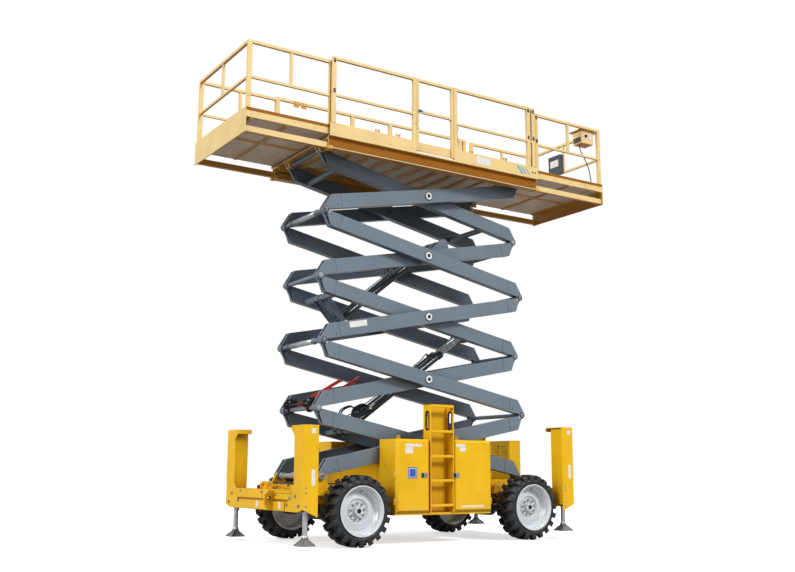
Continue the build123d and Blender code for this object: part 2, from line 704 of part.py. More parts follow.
def rail_side(x0, x1, y, posts, top, mid, foot):
    """Guard rail along X on the left side: top and mid rail with posts."""
    half = rail_size / 2
    side = block(x0, x1, y - half, y + half, top - rail_size, top)
    side += block(x0, x1, y - half + 4, y + half - 4, mid - 32, mid)
    for x in posts:
        side += block(x - post_width / 2, x + post_width / 2, y - half, y + half, foot, top - 1)
    return side


main_rail_y = deck_half_width - rail_size / 2
gate_post = 40
gate_half_y = main_rail_y - 5
gate_pin_radius = 9
gate_pivot = (gate_x[1] + 2.5, gate_half_y - rail_size / 2 - gate_pin_radius)
gate_hinge_z = (floor_top + 300, floor_top + 900)


def gate_knuckles(half):
    """Hinge barrels inside the rail line; half is +1 for the gate's and -1 for its post's."""
    x, y = gate_pivot
    reach = (x + 0.5, x + 50) if half < 0 else (x - 35, x - 0.5)
    parts = []
    for z in gate_hinge_z:
        z0, z1 = (z - 45, z - 0.5) if half < 0 else (z, z + 45)
        barrel = rod((x, y, z0), (x, y, z1), gate_pin_radius)
        depth = 16 if half < 0 else 11
        parts.append(barrel + block(*reach, y + 3, y + depth, z0, z1))
    return fuse(parts)


def deck_rails():
    """Left rail in one run; right rail in two, with the gate between."""
    y = main_rail_y
    x0, x1 = deck_rear_x + 26, deck_front_x - 46
    runs = [
        # hand, from, to, posts
        ("left", x0, x1, (x0 + 30, gate_x[0] - 30, gate_x[1] + 30, x1 - 130, x1 - 30)),
        ("right", x0, gate_x[0] - 5, (x0 + 30, gate_x[0] - 35)),
        ("right", gate_x[1] + 5, x1, (gate_x[1] + 35, x1 - 130, x1 - 30)),
    ]
    board = block(deck_rear_x, deck_front_x, deck_half_width - 10, deck_half_width + 1,
                  floor_top, floor_top + toe_height)
    rails = []
    for hand, a, b, posts in runs:
        run = rail_side(a, b, y, posts, main_rail_top, rail_mid_z, floor_top) - board
        if a > gate_x[1]:
            run += gate_knuckles(-1)
        rails.append(run if hand == "left" else mirrored(run))
    return rails


def gate():
    y = gate_half_y
    x0, x1 = gate_x
    half = rail_size / 2
    frame = block(x0, x1, y - half, y + half, main_rail_top - rail_size, main_rail_top)
    frame += block(x0, x1, y - half + 4, y + half - 4, rail_mid_z + 25, rail_mid_z + 60)
    for a in (x0, x1 - gate_post):
        frame += block(a, a + gate_post, y - half, y + half, floor_top + 45, main_rail_top)
    frame += block(x0, x1, y - half, y - half + 10, floor_top + 45, floor_top + toe_height)
    return mirrored(frame + gate_knuckles(1))


extension_overlap = 150     # how far an extended deck still lies inside the main deck
bar_overlap = 400
extension_rail_start = {-1: 70, 1: 10}      # where each deck's rails begin, from the main deck's end
tuck_gap = 40               # a retracted deck's end still stands this far outside the main deck
rear_travel = deck_rear_x - rear_extension_end - tuck_gap
front_travel = front_extension_end - deck_front_x - tuck_gap


def extension(end):
    """Extension deck; end is -1 at the rear and +1 at the front."""
    tip = rear_extension_end if end < 0 else front_extension_end
    main = deck_rear_x if end < 0 else deck_front_x
    half = extension_half_width
    def span_x(a, b):
        return (a, b) if a < b else (b, a)
    x0, x1 = span_x(tip, main - end * extension_overlap)
    floor = block(x0, x1, -half + 10, half - 10, extension_floor - 10, extension_floor)
    side = block(x0, x1, half - 10, half, extension_floor - 16, extension_toe_top)
    a, b = span_x(tip, main - end * bar_overlap)
    side += block(a, b, *low_bar_y, *low_bar_z)
    frame = floor + both_sides(side)
    e0, e1 = span_x(tip, tip - end * 14)
    frame += block(e0, e1, -half, half, low_bar_z[0] - 15, extension_toe_top)
    frame += block(x0 + 5, x1, -25, 25, extension_floor - 30, extension_floor - 10)
    for x in (x0 + 70, (tip + main) / 2 - 25, x1 - 50):
        frame += block(x, x + 50, -half + 12, half - 12, extension_floor - 30, extension_floor - 10)
    return frame


def extension_rails(end):
    tip = rear_extension_end if end < 0 else front_extension_end
    main = deck_rear_x if end < 0 else deck_front_x
    y = extension_half_width - 10 - rail_size / 2
    inner = main + extension_rail_start[end]
    outer = tip - end * 16
    x0, x1 = min(inner, outer), max(inner, outer)
    mid_post = (x0 + x1) / 2
    side = rail_side(x0, x1, y, (inner + end * 30, outer - end * 30), extension_rail_top,
                     rail_mid_z, extension_floor)
    side += block(mid_post - 20, mid_post + 20, y - 16, y + 16, rail_mid_z - 1, extension_rail_top - 1)
    rails = both_sides(side)
    a, b = (outer, outer + rail_size) if end < 0 else (outer - rail_size, outer)
    rails += block(a, b, -y, y, extension_rail_top - rail_size, extension_rail_top)
    rails += block(a + 4, b - 4, -y, y, rail_mid_z - 32, rail_mid_z)
    rails += block(a + 4, b - 4, -20, 20, rail_mid_z - 1, extension_rail_top - 1)
    return rails


def control_box():
    x1 = front_extension_end - 130
    y1 = -(extension_half_width - 10 - rail_size) + 0.3
    z1 = extension_rail_top - 60
    body = block(x1 - 260, x1, y1, y1 + 200, z1 - 210, z1)
    return body + block(x1 - 300, x1 + 30, y1, y1 + 260, z1 + 10, z1 + 22) + block(x1 - 200, x1 - 40, y1, y1 + 12, z1 - 60, z1 + 20)


def document_box():
    """Holder hung inside the front end rail."""
    x1 = front_extension_end - 16 - rail_size + 4 - 0.3
    return block(x1 - 75, x1, -10, 280, rail_mid_z - 33, rail_mid_z + 290)


prop_length = 900
prop_angle = radians(30)
prop_y = 280
prop_tie = 300              # the tie stands low enough to clear the upper cylinders when folded


def safety_prop():
    """Maintenance prop, hinged on the lowest inner pins."""
    x, z = pivot_x, pivot_z + stage_rise

    def along(y, distance):
        return x + distance * cos(prop_angle), y, z + distance * sin(prop_angle)

    legs = []
    for y in (-prop_y, prop_y):
        eye = cross_rod(x, z, y - 12, y + 12, 50, pin_radius + pin_clearance)
        leg = eye + bar(along(y, 42), along(y, prop_length), 24, 44)
        legs.append(leg + rod(along(y, prop_length - 20), along(0.7 * y, prop_length - 20), 17))
    tie = rod(along(-prop_y, prop_tie), along(prop_y, prop_tie), 17)
    return fuse(legs) + tie


# ---------------------------------------------------------------- build
os.makedirs("parts", exist_ok=True)

save("chassis_frame", chassis_frame())
save("rear_outrigger_frame", outrigger_frame(rear_column_x, rear_column_top, -1))
save("front_outrigger_frame", outrigger_frame(front_column_x, front_column_top, 1))
save("rear_axle", rear_axle())
save("front_axle", front_axle())
save("ladder", ladder())
save("front_hood", front_hood())
for hand, spans in box_spans.items():
    for place, (x0, x1) in spans.items():
        shell, panel = side_box(x0, x1), door(x0, x1)
        if hand == "right":
            shell, panel = mirrored(shell), mirrored(panel)
        save(f"{hand}_{place}_box", shell)
        save(f"{hand}_{place}_door", panel)
save("battery_pack", battery_pack())

corners = [
    # name, column x, column top, foot height
    ("rear", rear_column_x, rear_column_top, rear_foot_z, rear_axle_x),
    ("front", front_column_x, front_column_top, front_foot_z, front_axle_x),
]
for place, xs, top, foot_z, axle_x in corners:
    for hand, side in (("left", 1), ("right", -1)):
        save(f"{place}_{hand}_jack", jack_leg(xs, top, side, foot_z))
        tyre, rim = wheel(axle_x, side)
        save(f"{place}_{hand}_tyre", tyre)
        save(f"{place}_{hand}_rim", rim)
for hand, side in (("left", 1), ("right", -1)):
    save(f"{hand}_knuckle", knuckle(side))

for stage in range(1, stages + 1):
    save(f"outer_arms_{stage}", outer_arms(stage))
    save(f"inner_arms_{stage}", inner_arms(stage))
for name in lift_pairs:
    barrels, rods = lift_cylinders(name)
    save(f"{name}_cylinder_barrels", barrels)
    save(f"{name}_cylinder_rods", *rods)
save("safety_prop", safety_prop())

save("deck_frame", deck_frame())
save("deck_floor", deck_floor())
save("deck_rails", *deck_rails())
save("entry_gate", gate())
for place, end in (("rear", -1), ("front", 1)):
    save(f"{place}_extension_deck", extension(end))
    save(f"{place}_extension_rails", extension_rails(end))
save("control_box", control_box())
save("document_box", document_box())
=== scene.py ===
import json
import math
from functools import cached_property

import bpy
import numpy as np
from mathutils import Matrix, Vector


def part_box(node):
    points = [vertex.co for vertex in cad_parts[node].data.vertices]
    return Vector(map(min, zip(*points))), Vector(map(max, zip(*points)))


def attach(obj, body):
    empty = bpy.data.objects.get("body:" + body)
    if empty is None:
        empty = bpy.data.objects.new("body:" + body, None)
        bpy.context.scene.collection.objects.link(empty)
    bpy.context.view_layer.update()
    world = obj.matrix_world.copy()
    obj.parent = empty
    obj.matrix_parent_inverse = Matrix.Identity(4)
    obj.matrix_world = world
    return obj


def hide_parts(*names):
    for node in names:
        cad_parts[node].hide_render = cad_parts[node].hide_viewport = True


# Looks of a rough-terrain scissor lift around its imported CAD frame.
# Metres. The tables below use the CAD source's own X, which is 0 halfway between the axles;
# Piece.make() moves everything to the row frame: +X to the steered wheels, +Y left, +Z up.

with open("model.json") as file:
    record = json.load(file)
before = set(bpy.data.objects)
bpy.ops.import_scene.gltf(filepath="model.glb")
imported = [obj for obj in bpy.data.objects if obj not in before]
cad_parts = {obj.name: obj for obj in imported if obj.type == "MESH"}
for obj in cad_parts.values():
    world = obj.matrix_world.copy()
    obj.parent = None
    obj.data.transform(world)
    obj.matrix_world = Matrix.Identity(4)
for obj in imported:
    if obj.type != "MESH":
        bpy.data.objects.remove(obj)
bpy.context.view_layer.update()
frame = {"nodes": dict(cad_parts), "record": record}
nodes = frame["nodes"]
axle_mid = (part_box("rear_right_rim")[0].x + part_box("front_right_rim")[1].x) / 2     # the source's X = 0

# ---------------------------------------------------------------- camera
camera_place = (axle_mid - 7.93928, -11.950, 0.982)
camera_azimuth = -33.02         # degrees; 0 looks along +Y
camera_pitch = 10.70
camera_roll = 0.21
sensor_width = 36.0
lens_length = 43.94

scene = bpy.context.scene
scene.view_settings.view_transform = "Standard"


def add_object(name, data):
    made = bpy.data.objects.new(name, data)
    scene.collection.objects.link(made)
    return made


camera_data = bpy.data.cameras.new("camera")
camera_data.sensor_width = sensor_width
camera_data.lens = lens_length
camera_data.clip_end = 200
camera = add_object("camera", camera_data)
turn = Matrix.Translation(camera_place)
for degrees, axis in ((camera_azimuth, "Z"), (90 + camera_pitch, "X"), (camera_roll, "Z")):
    turn = turn @ Matrix.Rotation(math.radians(degrees), 4, axis)
camera.matrix_world = turn
scene.camera = camera


# ---------------------------------------------------------------- materials
def feed(tree, node, inputs):
    """Link or set a node's inputs: (socket, value or source socket)."""
    for socket, value in inputs:
        if isinstance(value, bpy.types.NodeSocket):
            tree.links.new(value, node.inputs[socket])
        else:
            node.inputs[socket].default_value = value
    return node


def new_node(tree, kind, *inputs, **settings):
    node = tree.nodes.new("ShaderNode" + kind)
    for name, value in settings.items():
        setattr(node, name, value)
    return feed(tree, node, inputs)


def toned(colour, share):
    return tuple(min(1.0, c * share) for c in colour)


class Look:
    """A material and the nodes that lead to its shader."""

    def __init__(self, name):
        self.made = bpy.data.materials.new(name)
        self.made.use_nodes = True
        self.tree = self.made.node_tree

    def node(self, kind, *inputs, **settings):
        return new_node(self.tree, kind, *inputs, **settings)

    @cached_property
    def place(self):
        return self.node("TexCoord").outputs["Object"]

    def stretched(self, scale):
        return self.node("Mapping", ("Vector", self.place), ("Scale", scale)).outputs[0]

    def parts(self, vector):
        """A vector's X, Y and Z."""
        return self.node("SeparateXYZ", (0, vector)).outputs

    def facing(self):
        return self.parts(self.node("NewGeometry").outputs["True Normal"])

    def math(self, operation, *values, **settings):
        return self.node("Math", *enumerate(values), operation=operation, **settings).outputs[0]

    def mix(self, share, a, b):
        """Between a and b, each a colour or a socket."""
        a, b = (c if isinstance(c, bpy.types.NodeSocket) else (*c, 1.0) for c in (a, b))
        return self.node("Mix", (0, share), (6, a), (7, b), data_type="RGBA").outputs[2]

    def ramp(self, value, low, high):
        """0 below low, 1 above high and a straight line between."""
        return self.node("MapRange", (0, value), (1, low), (2, high), (3, 0.0), (4, 1.0)).outputs[0]

    def noise(self, scale, detail=3.0, place=None):
        place = self.place if place is None else place
        return self.node("TexNoise", ("Vector", place), ("Scale", scale), ("Detail", detail),
                         ("Roughness", 0.55)).outputs["Fac"]

    def bevel(self, radius):
        return self.node("Bevel", ("Radius", radius), samples=4).outputs[0]

    def normal(self, radius, height, strength, distance):
        """Edges rounded in shading, with a fine bump on top."""
        return self.node("Bump", ("Height", height), ("Strength", strength), ("Distance", distance),
                         ("Normal", self.bevel(radius))).outputs[0]

    def edges(self, radius):
        """Near 1 along outer and inner edges."""
        flat = self.node("NewGeometry").outputs["Normal"]
        same = self.node("VectorMath", (0, self.bevel(radius)), (1, flat), operation="DOT_PRODUCT")
        return self.ramp(same.outputs["Value"], 0.97, 0.75)

    def done(self, inputs):
        feed(self.tree, self.tree.nodes["Principled BSDF"], inputs.items())
        return self.made


def paint(name, colour, rough=0.38, worn=None, dusty=0.0, coat=0.12, grain=0.12, metal=0.0, edge=0.0035,
          shine=0.3, under=None, hollow_shade=None, inward_shade=None, inward_shade_top=None):
    """Sprayed paint with a soft edge, uneven tone, orange peel and a little dust low down.

    under is a painted shade on faces that look down, hollow_shade a painted shade in hollows,
    and inward_shade a painted shade on faces that look towards the machine's middle; with
    inward_shade_top, only below that height, and along X too."""
    look = Look(name)
    dark = toned(colour, 1 - grain)
    base = look.mix(look.ramp(look.noise(2.3, 4.0), 0.35, 0.68), dark, toned(colour, 1 + grain * 0.6))
    streak = look.ramp(look.noise(1.0, 2.0, look.stretched((26.0, 26.0, 1.6))), 0.56, 0.78)
    base = look.mix(look.math("MULTIPLY", streak, 0.16), base, dark)
    if worn:
        patches = look.ramp(look.noise(24.0), 0.45, 0.62)
        wear = look.math("MULTIPLY", look.edges(edge * 1.6), patches, use_clamp=True)
        base = look.mix(look.math("MULTIPLY", wear, 0.55), base, worn)
    if dusty:
        low_down = look.ramp(look.parts(look.place)["Z"], 1.0, 0.25)
        dust = look.math("MULTIPLY", low_down, look.ramp(look.noise(9.0, 5.0), 0.40, 0.66))
        base = look.mix(look.math("MULTIPLY", dust, dusty), base, (0.42, 0.34, 0.22))
    # painted shade: a darker colour on faces that look down
    if under:
        base = look.mix(look.ramp(look.facing()["Z"], -0.5, -0.9), base, under)
    # painted shade: a darker colour on faces that look towards the machine's middle, where the far parts
    # stand in shade
    if inward_shade:
        facing, spot = look.facing(), look.parts(look.place)
        share = 0.0
        for axis in ("Y",) if inward_shade_top is None else ("X", "Y"):
            turned = look.math("MULTIPLY", facing[axis], look.math("SIGN", spot[axis], 0.0))
            share = look.math("MAXIMUM", look.ramp(turned, -0.5, -0.9), share)
        if inward_shade_top is not None:
            share = look.math("MULTIPLY", share, look.math("LESS_THAN", spot["Z"], inward_shade_top))
        base = look.mix(share, base, inward_shade)
    # painted shade in hollows: darker where ambient occlusion finds nearby surfaces
    if hollow_shade:
        open_share = look.node("AmbientOcclusion", ("Distance", 0.35), samples=6).outputs["AO"]
        base = look.mix(look.ramp(open_share, 0.80, 0.30), base, hollow_shade)
    return look.done({
        "Base Color": base, "Normal": look.normal(edge, look.noise(190.0, 2.0), 0.07, 0.0015),
        "Roughness": look.math("MULTIPLY_ADD", look.noise(12.0), 0.16, rough - 0.08), "Metallic": metal,
        "Specular IOR Level": shine, "Coat Weight": coat, "Coat Roughness": 0.12})


def bare_metal(name, colour, rough, metal):
    """Plated or polished steel with fine scratches and smudges."""
    look = Look(name)
    smudge = look.ramp(look.noise(14.0, 4.0), 0.35, 0.7)
    lines = look.noise(1.0, 3.0, look.stretched((4.0, 220.0, 4.0)))
    return look.done({
        "Base Color": look.mix(smudge, colour, toned(colour, 0.72)), "Metallic": metal,
        "Roughness": look.math("MULTIPLY_ADD", lines, 0.22, rough - 0.08),
        "Normal": look.normal(0.002, lines, 0.05, 0.0008)})


def rubber(name, colour, rough, dusty, grain_scale):
    look = Look(name)
    dust = look.math("MULTIPLY", look.ramp(look.noise(6.5, 6.0), 0.42, 0.74), dusty)
    return look.done({
        "Base Color": look.mix(dust, colour, (0.115, 0.108, 0.098)), "Specular IOR Level": 0.45,
        "Roughness": look.math("MULTIPLY_ADD", look.noise(8.0), 0.3, rough - 0.15),
        "Normal": look.normal(0.004, look.noise(grain_scale, 4.0), 0.25, 0.002)})


def label(name, colour):
    """A blank printed plate: plain face with slight fading and a fine grain."""
    look = Look(name)
    fade = look.ramp(look.noise(30.0), 0.4, 0.7)
    return look.done({
        "Base Color": look.mix(fade, colour, toned(colour, 0.86)), "Roughness": 0.35,
        "Normal": look.normal(0.001, look.noise(300.0), 0.05, 0.0005)})


def panel_mesh(name, colour, hole_colour):
    """Expanded metal seen from below: rows of staggered slots with a raised edge."""
    look = Look(name)
    cells = look.node("TexBrick", ("Vector", look.stretched((1.0, 2.2, 1.0))), ("Scale", 26.0),
                      ("Mortar Size", 0.16), ("Mortar Smooth", 0.4), ("Brick Width", 0.9),
                      ("Row Height", 0.9))
    holes = cells.outputs["Fac"]
    plate = look.mix(look.ramp(look.noise(4.0, 5.0), 0.35, 0.7), colour, toned(colour, 0.7))
    bump = look.node("Bump", ("Height", holes), ("Strength", 0.5), ("Distance", 0.004))
    return look.done({"Base Color": look.mix(holes, hole_colour, plate), "Normal": bump.outputs[0],
                      "Roughness": 0.5})


yellow = (0.80, 0.46, 0.006)
amber = (0.80, 0.585, 0.25)
slate = (0.142, 0.184, 0.224)
looks = {
    # name: how it is made, its colour, the rest
    # each paint's colours for faces that look down, for hollows and for faces towards the machine's middle
    # are painted shade
    "chassis_paint": (paint, yellow, dict(
        rough=0.40, worn=(0.9, 0.66, 0.25), dusty=0.12, coat=0.05, grain=0.08, shine=0.2,
        under=(0.34, 0.16, 0.008), hollow_shade=(0.50, 0.20, 0.004))),
    "platform_paint": (paint, amber, dict(
        rough=0.42, worn=(0.95, 0.85, 0.6), grain=0.07, under=(0.36, 0.16, 0.025), hollow_shade=(0.52, 0.27, 0.05),
        inward_shade=(0.34, 0.155, 0.022), inward_shade_top=5.47)),
    # painted shade for the webs of the deck's side beams and the band at the head of the extension side
    # boards
    "amber_web": (paint, (0.32, 0.112, 0.005), dict(
        rough=0.5, coat=0.0, shine=0.12, worn=(0.85, 0.6, 0.25), grain=0.08, under=(0.30, 0.13, 0.02))),
    # darker painted shade for the lower third of the side beams' webs
    "amber_dark": (paint, (0.185, 0.066, 0.006), dict(rough=0.45, worn=(0.7, 0.4, 0.1), grain=0.08)),
    "arm_paint": (paint, slate, dict(
        rough=0.36, worn=(0.3, 0.33, 0.36), grain=0.06, edge=0.009, shine=0.5, coat=0.2,
        under=(0.070, 0.088, 0.110), hollow_shade=(0.050, 0.066, 0.086), inward_shade=(0.062, 0.084, 0.110))),
    "pale_ring": (paint, (0.72, 0.74, 0.76), dict(rough=0.3, grain=0.05, coat=0.3)),
    "shaft_paint": (paint, (0.40, 0.43, 0.46), dict(
        rough=0.25, metal=0.35, grain=0.08, shine=0.6, coat=0.4)),
    "wheel_paint": (paint, (0.67, 0.71, 0.745), dict(rough=0.30, dusty=0.08, metal=0.15, grain=0.06)),
    "cylinder_paint": (paint, (0.022, 0.030, 0.042), dict(rough=0.28, worn=(0.1, 0.1, 0.11), shine=0.5)),
    "foot_paint": (paint, (0.165, 0.174, 0.186), dict(
        rough=0.3, worn=(0.3, 0.31, 0.32), shine=0.7, coat=0.3)),
    "prop_paint": (paint, (0.62, 0.022, 0.012), dict(rough=0.35, worn=(0.8, 0.3, 0.2))),
    "axle_paint": (paint, (0.028, 0.027, 0.028), dict(rough=0.5, dusty=0.3, worn=(0.1, 0.09, 0.08))),
    "grey_plastic": (paint, (0.062, 0.082, 0.105), dict(rough=0.5, coat=0.0, worn=(0.15, 0.16, 0.18))),
    "black": (paint, (0.012, 0.012, 0.014), dict(rough=0.42, worn=(0.08, 0.08, 0.08))),
    "orange": (paint, (0.70, 0.34, 0.018), dict(rough=0.4, worn=(0.9, 0.6, 0.25))),
    "seam": (paint, (0.16, 0.08, 0.01), dict(rough=0.6, coat=0.0)),
    "chrome": (bare_metal, (0.60, 0.64, 0.68), dict(rough=0.26, metal=0.6)),
    "jack_steel": (bare_metal, (0.62, 0.65, 0.68), dict(rough=0.26, metal=0.45)),
    "steel": (bare_metal, (0.50, 0.51, 0.53), dict(rough=0.32, metal=1.0)),
    "tyre": (rubber, (0.0145, 0.015, 0.017), dict(rough=0.52, dusty=0.16, grain_scale=120.0)),
    "hose": (rubber, (0.010, 0.010, 0.012), dict(rough=0.45, dusty=0.1, grain_scale=400.0)),
    "white_plate": (label, (0.76, 0.75, 0.73), {}),
    "blue_plate": (label, (0.02, 0.11, 0.42), {}),
    "stripe": (label, (0.16, 0.42, 0.58), {}),
    "deck_plate": (panel_mesh, (0.40, 0.35, 0.28), dict(hole_colour=(0.13, 0.08, 0.04))),
    "panel": (panel_mesh, (0.82, 0.70, 0.58), dict(hole_colour=(0.30, 0.17, 0.08))),
}
mats = {name: make(name, colour, **rest) for name, (make, colour, rest) in looks.items()}
for part in frame["record"]["subparts"]:
    node = nodes[part["node"]]
    node.data.materials.clear()
    node.data.materials.append(mats[part["material_slot"]])

# ---------------------------------------------------------------- world, lights and floor
world = bpy.data.worlds.new("studio")
scene.world = world
world.use_nodes = True
tree = world.node_tree
tree.nodes.clear()
ray = new_node(tree, "LightPath").outputs
seen = new_node(tree, "Math", (0, ray["Is Camera Ray"]), (1, ray["Is Transmission Ray"]),
                operation="MAXIMUM")
ambient, white = (new_node(tree, "Background", ("Color", (1, 1, 1, 1)), ("Strength", strength)).outputs[0]
                  for strength in (0.56, 1.0))
mixed = new_node(tree, "MixShader", (0, seen.outputs[0]), (1, ambient), (2, white))
new_node(tree, "OutputWorld", ("Surface", mixed.outputs[0]))

lamps = [
    # name, azimuth (0 shines along +Y, 90 along -X), elevation, strength, spread
    ("key", 16, 38, 2.10, 14),
    ("side", -80, 24, 1.95, 30),
]
for name, azimuth, elevation, strength, spread in lamps:
    lamp = bpy.data.lights.new(name, "SUN")
    lamp.energy = strength
    lamp.angle = math.radians(spread)
    a, e = math.radians(azimuth), math.radians(elevation)
    towards = Vector((math.sin(a) * math.cos(e), -math.cos(a) * math.cos(e), math.sin(e)))
    add_object(name, lamp).matrix_world = (-towards).to_track_quat("-Z", "Y").to_matrix().to_4x4()

floor_half = 60
floor_mesh = bpy.data.meshes.new("floor")
corners = ((-1, -1), (1, -1), (1, 1), (-1, 1))
floor_mesh.from_pydata([(x * floor_half, y * floor_half, 0) for x, y in corners], [], [(0, 1, 2, 3)])
add_object("floor", floor_mesh)
# white to the camera where it is lit, keeping the shadow; a dull floor to everything else
floor_look = Look("floor")
camera_ray = floor_look.node("LightPath").outputs["Is Camera Ray"]
floor_mesh.materials.append(floor_look.done({
    "Roughness": 1.0, "Specular IOR Level": 0.0, "Emission Color": (1, 1, 1, 1),
    "Base Color": floor_look.mix(camera_ray, (0.42, 0.41, 0.40), (0.74, 0.74, 0.74)),
    "Emission Strength": floor_look.math("MULTIPLY", camera_ray, 0.58)}))

# ---------------------------------------------------------------- mesh building
X, Y, Z = (Vector(axis) for axis in ((1, 0, 0), (0, 1, 0), (0, 0, 1)))


def circle(count, radius, start=0.0):
    """Points evenly round a circle, the first at start steps."""
    turns = [math.tau * (k + start) / count for k in range(count)]
    return [(radius * math.cos(t), radius * math.sin(t)) for t in turns]


class Piece:
    """Boxes, rods, plates and hoses gathered into one mesh, with places measured from its origin.

    look is what most of it is made of, and bevel is the width of its rounded edges."""

    def __init__(self, name, body, look, bevel=0.001, origin=(0, 0, 0)):
        self.name, self.body, self.look, self.bevel, self.origin = name, body, look, bevel, origin
        self.points, self.faces, self.looks, self.soft = [], [], [], []

    def add(self, points, faces, look, soft):
        start, (x, y, z) = len(self.points), self.origin
        self.points += [(x + p[0], y + p[1], z + p[2]) for p in points]
        self.faces += [tuple(start + i for i in face) for face in faces]
        self.looks += [look or self.look] * len(faces)
        self.soft += soft

    def box(self, x0, x1, y0, y1, z0, z1, look=None):
        """Between two corners, given in any order."""
        (x0, x1), (y0, y1) = sorted((x0, x1)), sorted((y0, y1))
        self.loft([[(x0, y0, z), (x1, y0, z), (x1, y1, z), (x0, y1, z)] for z in (z0, z1)], look)

    def plate(self, x0, x1, face, side, z0, z1, look=None, proud=0.0012):
        """A thin plate on a side face, sunk 1 mm into it."""
        self.box(x0, x1, face - side * 0.001, face + side * proud, z0, z1, look)

    def loft(self, rings, look=None, smooth=False, closed=False):
        """Skin through rings of the same number of points, with flat ends unless closed."""
        n, faces = len(rings[0]), []
        for i in range(len(rings) if closed else len(rings) - 1):
            a, b = i * n, (i + 1) % len(rings) * n
            faces += [(a + k, a + (k + 1) % n, b + (k + 1) % n, b + k) for k in range(n)]
        soft = [smooth] * len(faces)
        if not closed:
            faces += [tuple(range(n))[::-1], tuple(range((len(rings) - 1) * n, len(rings) * n))]
            soft += [False, False]
        self.add([point for ring in rings for point in ring], faces, look, soft)

    def prism(self, outline, a, b, look=None):
        """A plate: outline is (x, z) points, from y = a to y = b."""
        self.loft([[(x, y, z) for x, z in outline] for y in (a, b)], look)

    def rod(self, start, end, radius, look=None, sides=20, end_radius=None):
        start, end = Vector(start), Vector(end)
        along = (end - start).normalized()
        u = along.orthogonal().normalized()
        v = along.cross(u)
        ends = ((start, radius), (end, end_radius or radius))
        self.loft([[centre + u * a + v * b for a, b in circle(sides, r)] for centre, r in ends], look, True)

    def pin(self, place, axis, start, end, radius, look=None, sides=20, end_radius=None):
        """A rod along axis, from start to end beyond place."""
        place, axis = Vector(place), Vector(axis)
        self.rod(place + axis * start, place + axis * end, radius, look, sides, end_radius)

    def ring(self, centre, axis, inner, outer, thick, look=None, sides=36):
        """A flat washer; thick is along axis, a unit vector, from the centre."""
        centre, along = Vector(centre), Vector(axis)
        u = along.orthogonal().normalized()
        v = along.cross(u)
        corners = ((inner, 0), (outer, 0), (outer, thick), (inner, thick))
        rings = [[centre + (u * a + v * b) * r + along * h for r, h in corners] for a, b in circle(sides, 1)]
        self.loft(rings, look, closed=True)

    def bolt(self, place, axis, radius, height, look="steel", washer=True):
        """A hexagon head, on a washer."""
        if washer:
            self.pin(place, axis, 0, height * 0.25, radius * 1.35, look, 16)
        self.pin(place, axis, 0, height, radius, look, 6)

    def hose(self, points, radius, look="hose", sides=10):
        """A round tube through the points on a smooth line."""
        line = smooth_line([Vector(p) for p in points])
        rings, u = [], None
        for i, centre in enumerate(line):
            along = (line[min(i + 1, len(line) - 1)] - line[max(i - 1, 0)]).normalized()
            u = along.orthogonal() if u is None else u - along * u.dot(along)
            u.normalize()
            v = along.cross(u)
            rings.append([centre + u * a + v * b for a, b in circle(sides, radius)])
        self.loft(rings, look, True)

    def make(self):
        mesh = bpy.data.meshes.new(self.name)
        mesh.from_pydata([(x + axle_mid, y, z) for x, y, z in self.points], [], self.faces)
        names = list(dict.fromkeys(self.looks))
        for name in names:
            mesh.materials.append(mats[name])
        for face, look, soft in zip(mesh.polygons, self.looks, self.soft):
            face.material_index = names.index(look)
            face.use_smooth = soft
        mesh.validate()
        mesh.update()
        made = add_object(self.name, mesh)
        if self.bevel:
            modifier = made.modifiers.new("bevel", "BEVEL")
            modifier.width = self.bevel
            modifier.segments = 2
            modifier.limit_method = "ANGLE"
            modifier.angle_limit = math.radians(40)
        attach(made, self.body)
        return made


def smooth_line(points):
    """Points on a Catmull-Rom line through the given ones."""
    steps = 10
    ends = [2 * points[0] - points[1], *points, 2 * points[-1] - points[-2]]
    line = []
    for a, b, c, d in zip(ends, ends[1:], ends[2:], ends[3:]):
        for k in range(steps):
            t = k / steps
            line.append(0.5 * (2 * b + (c - a) * t + (2 * a - 5 * b + 4 * c - d) * t ** 2
                               + (3 * b - a - 3 * c + d) * t ** 3))
    return [*line, points[-1]]


# ---------------------------------------------------------------- wheels
axle_x = {"rear": -1.425, "front": 1.425}
axle_z = 0.457
tyre_mid, rim_face = 0.970, 0.988
hands = {"left": 1, "right": -1}
lugs_round = 20
# half of the tyre's section: (across from the middle, radius)
tyre_section = [(0.000, 0.412), (0.060, 0.411), (0.104, 0.407), (0.130, 0.398), (0.144, 0.386),
                (0.1510, 0.374), (0.155, 0.364), (0.1575, 0.354), (0.1555, 0.350), (0.1545, 0.336),
                (0.149, 0.331), (0.144, 0.322), (0.136, 0.314)]
# one lug: (across, how far round in degrees, half its width in degrees, top radius, root radius)
lug_rows = [(-0.012, 0.0, 2.4, 0.4560, 0.404), (0.035, 2.4, 2.6, 0.4565, 0.404),
            (0.080, 5.2, 3.1, 0.4560, 0.402), (0.120, 7.2, 4.0, 0.4540, 0.394),
            (0.143, 8.0, 4.7, 0.4450, 0.380), (0.1555, 8.2, 4.4, 0.4250, 0.372),
            (0.1594, 8.2, 3.0, 0.3930, 0.366)]


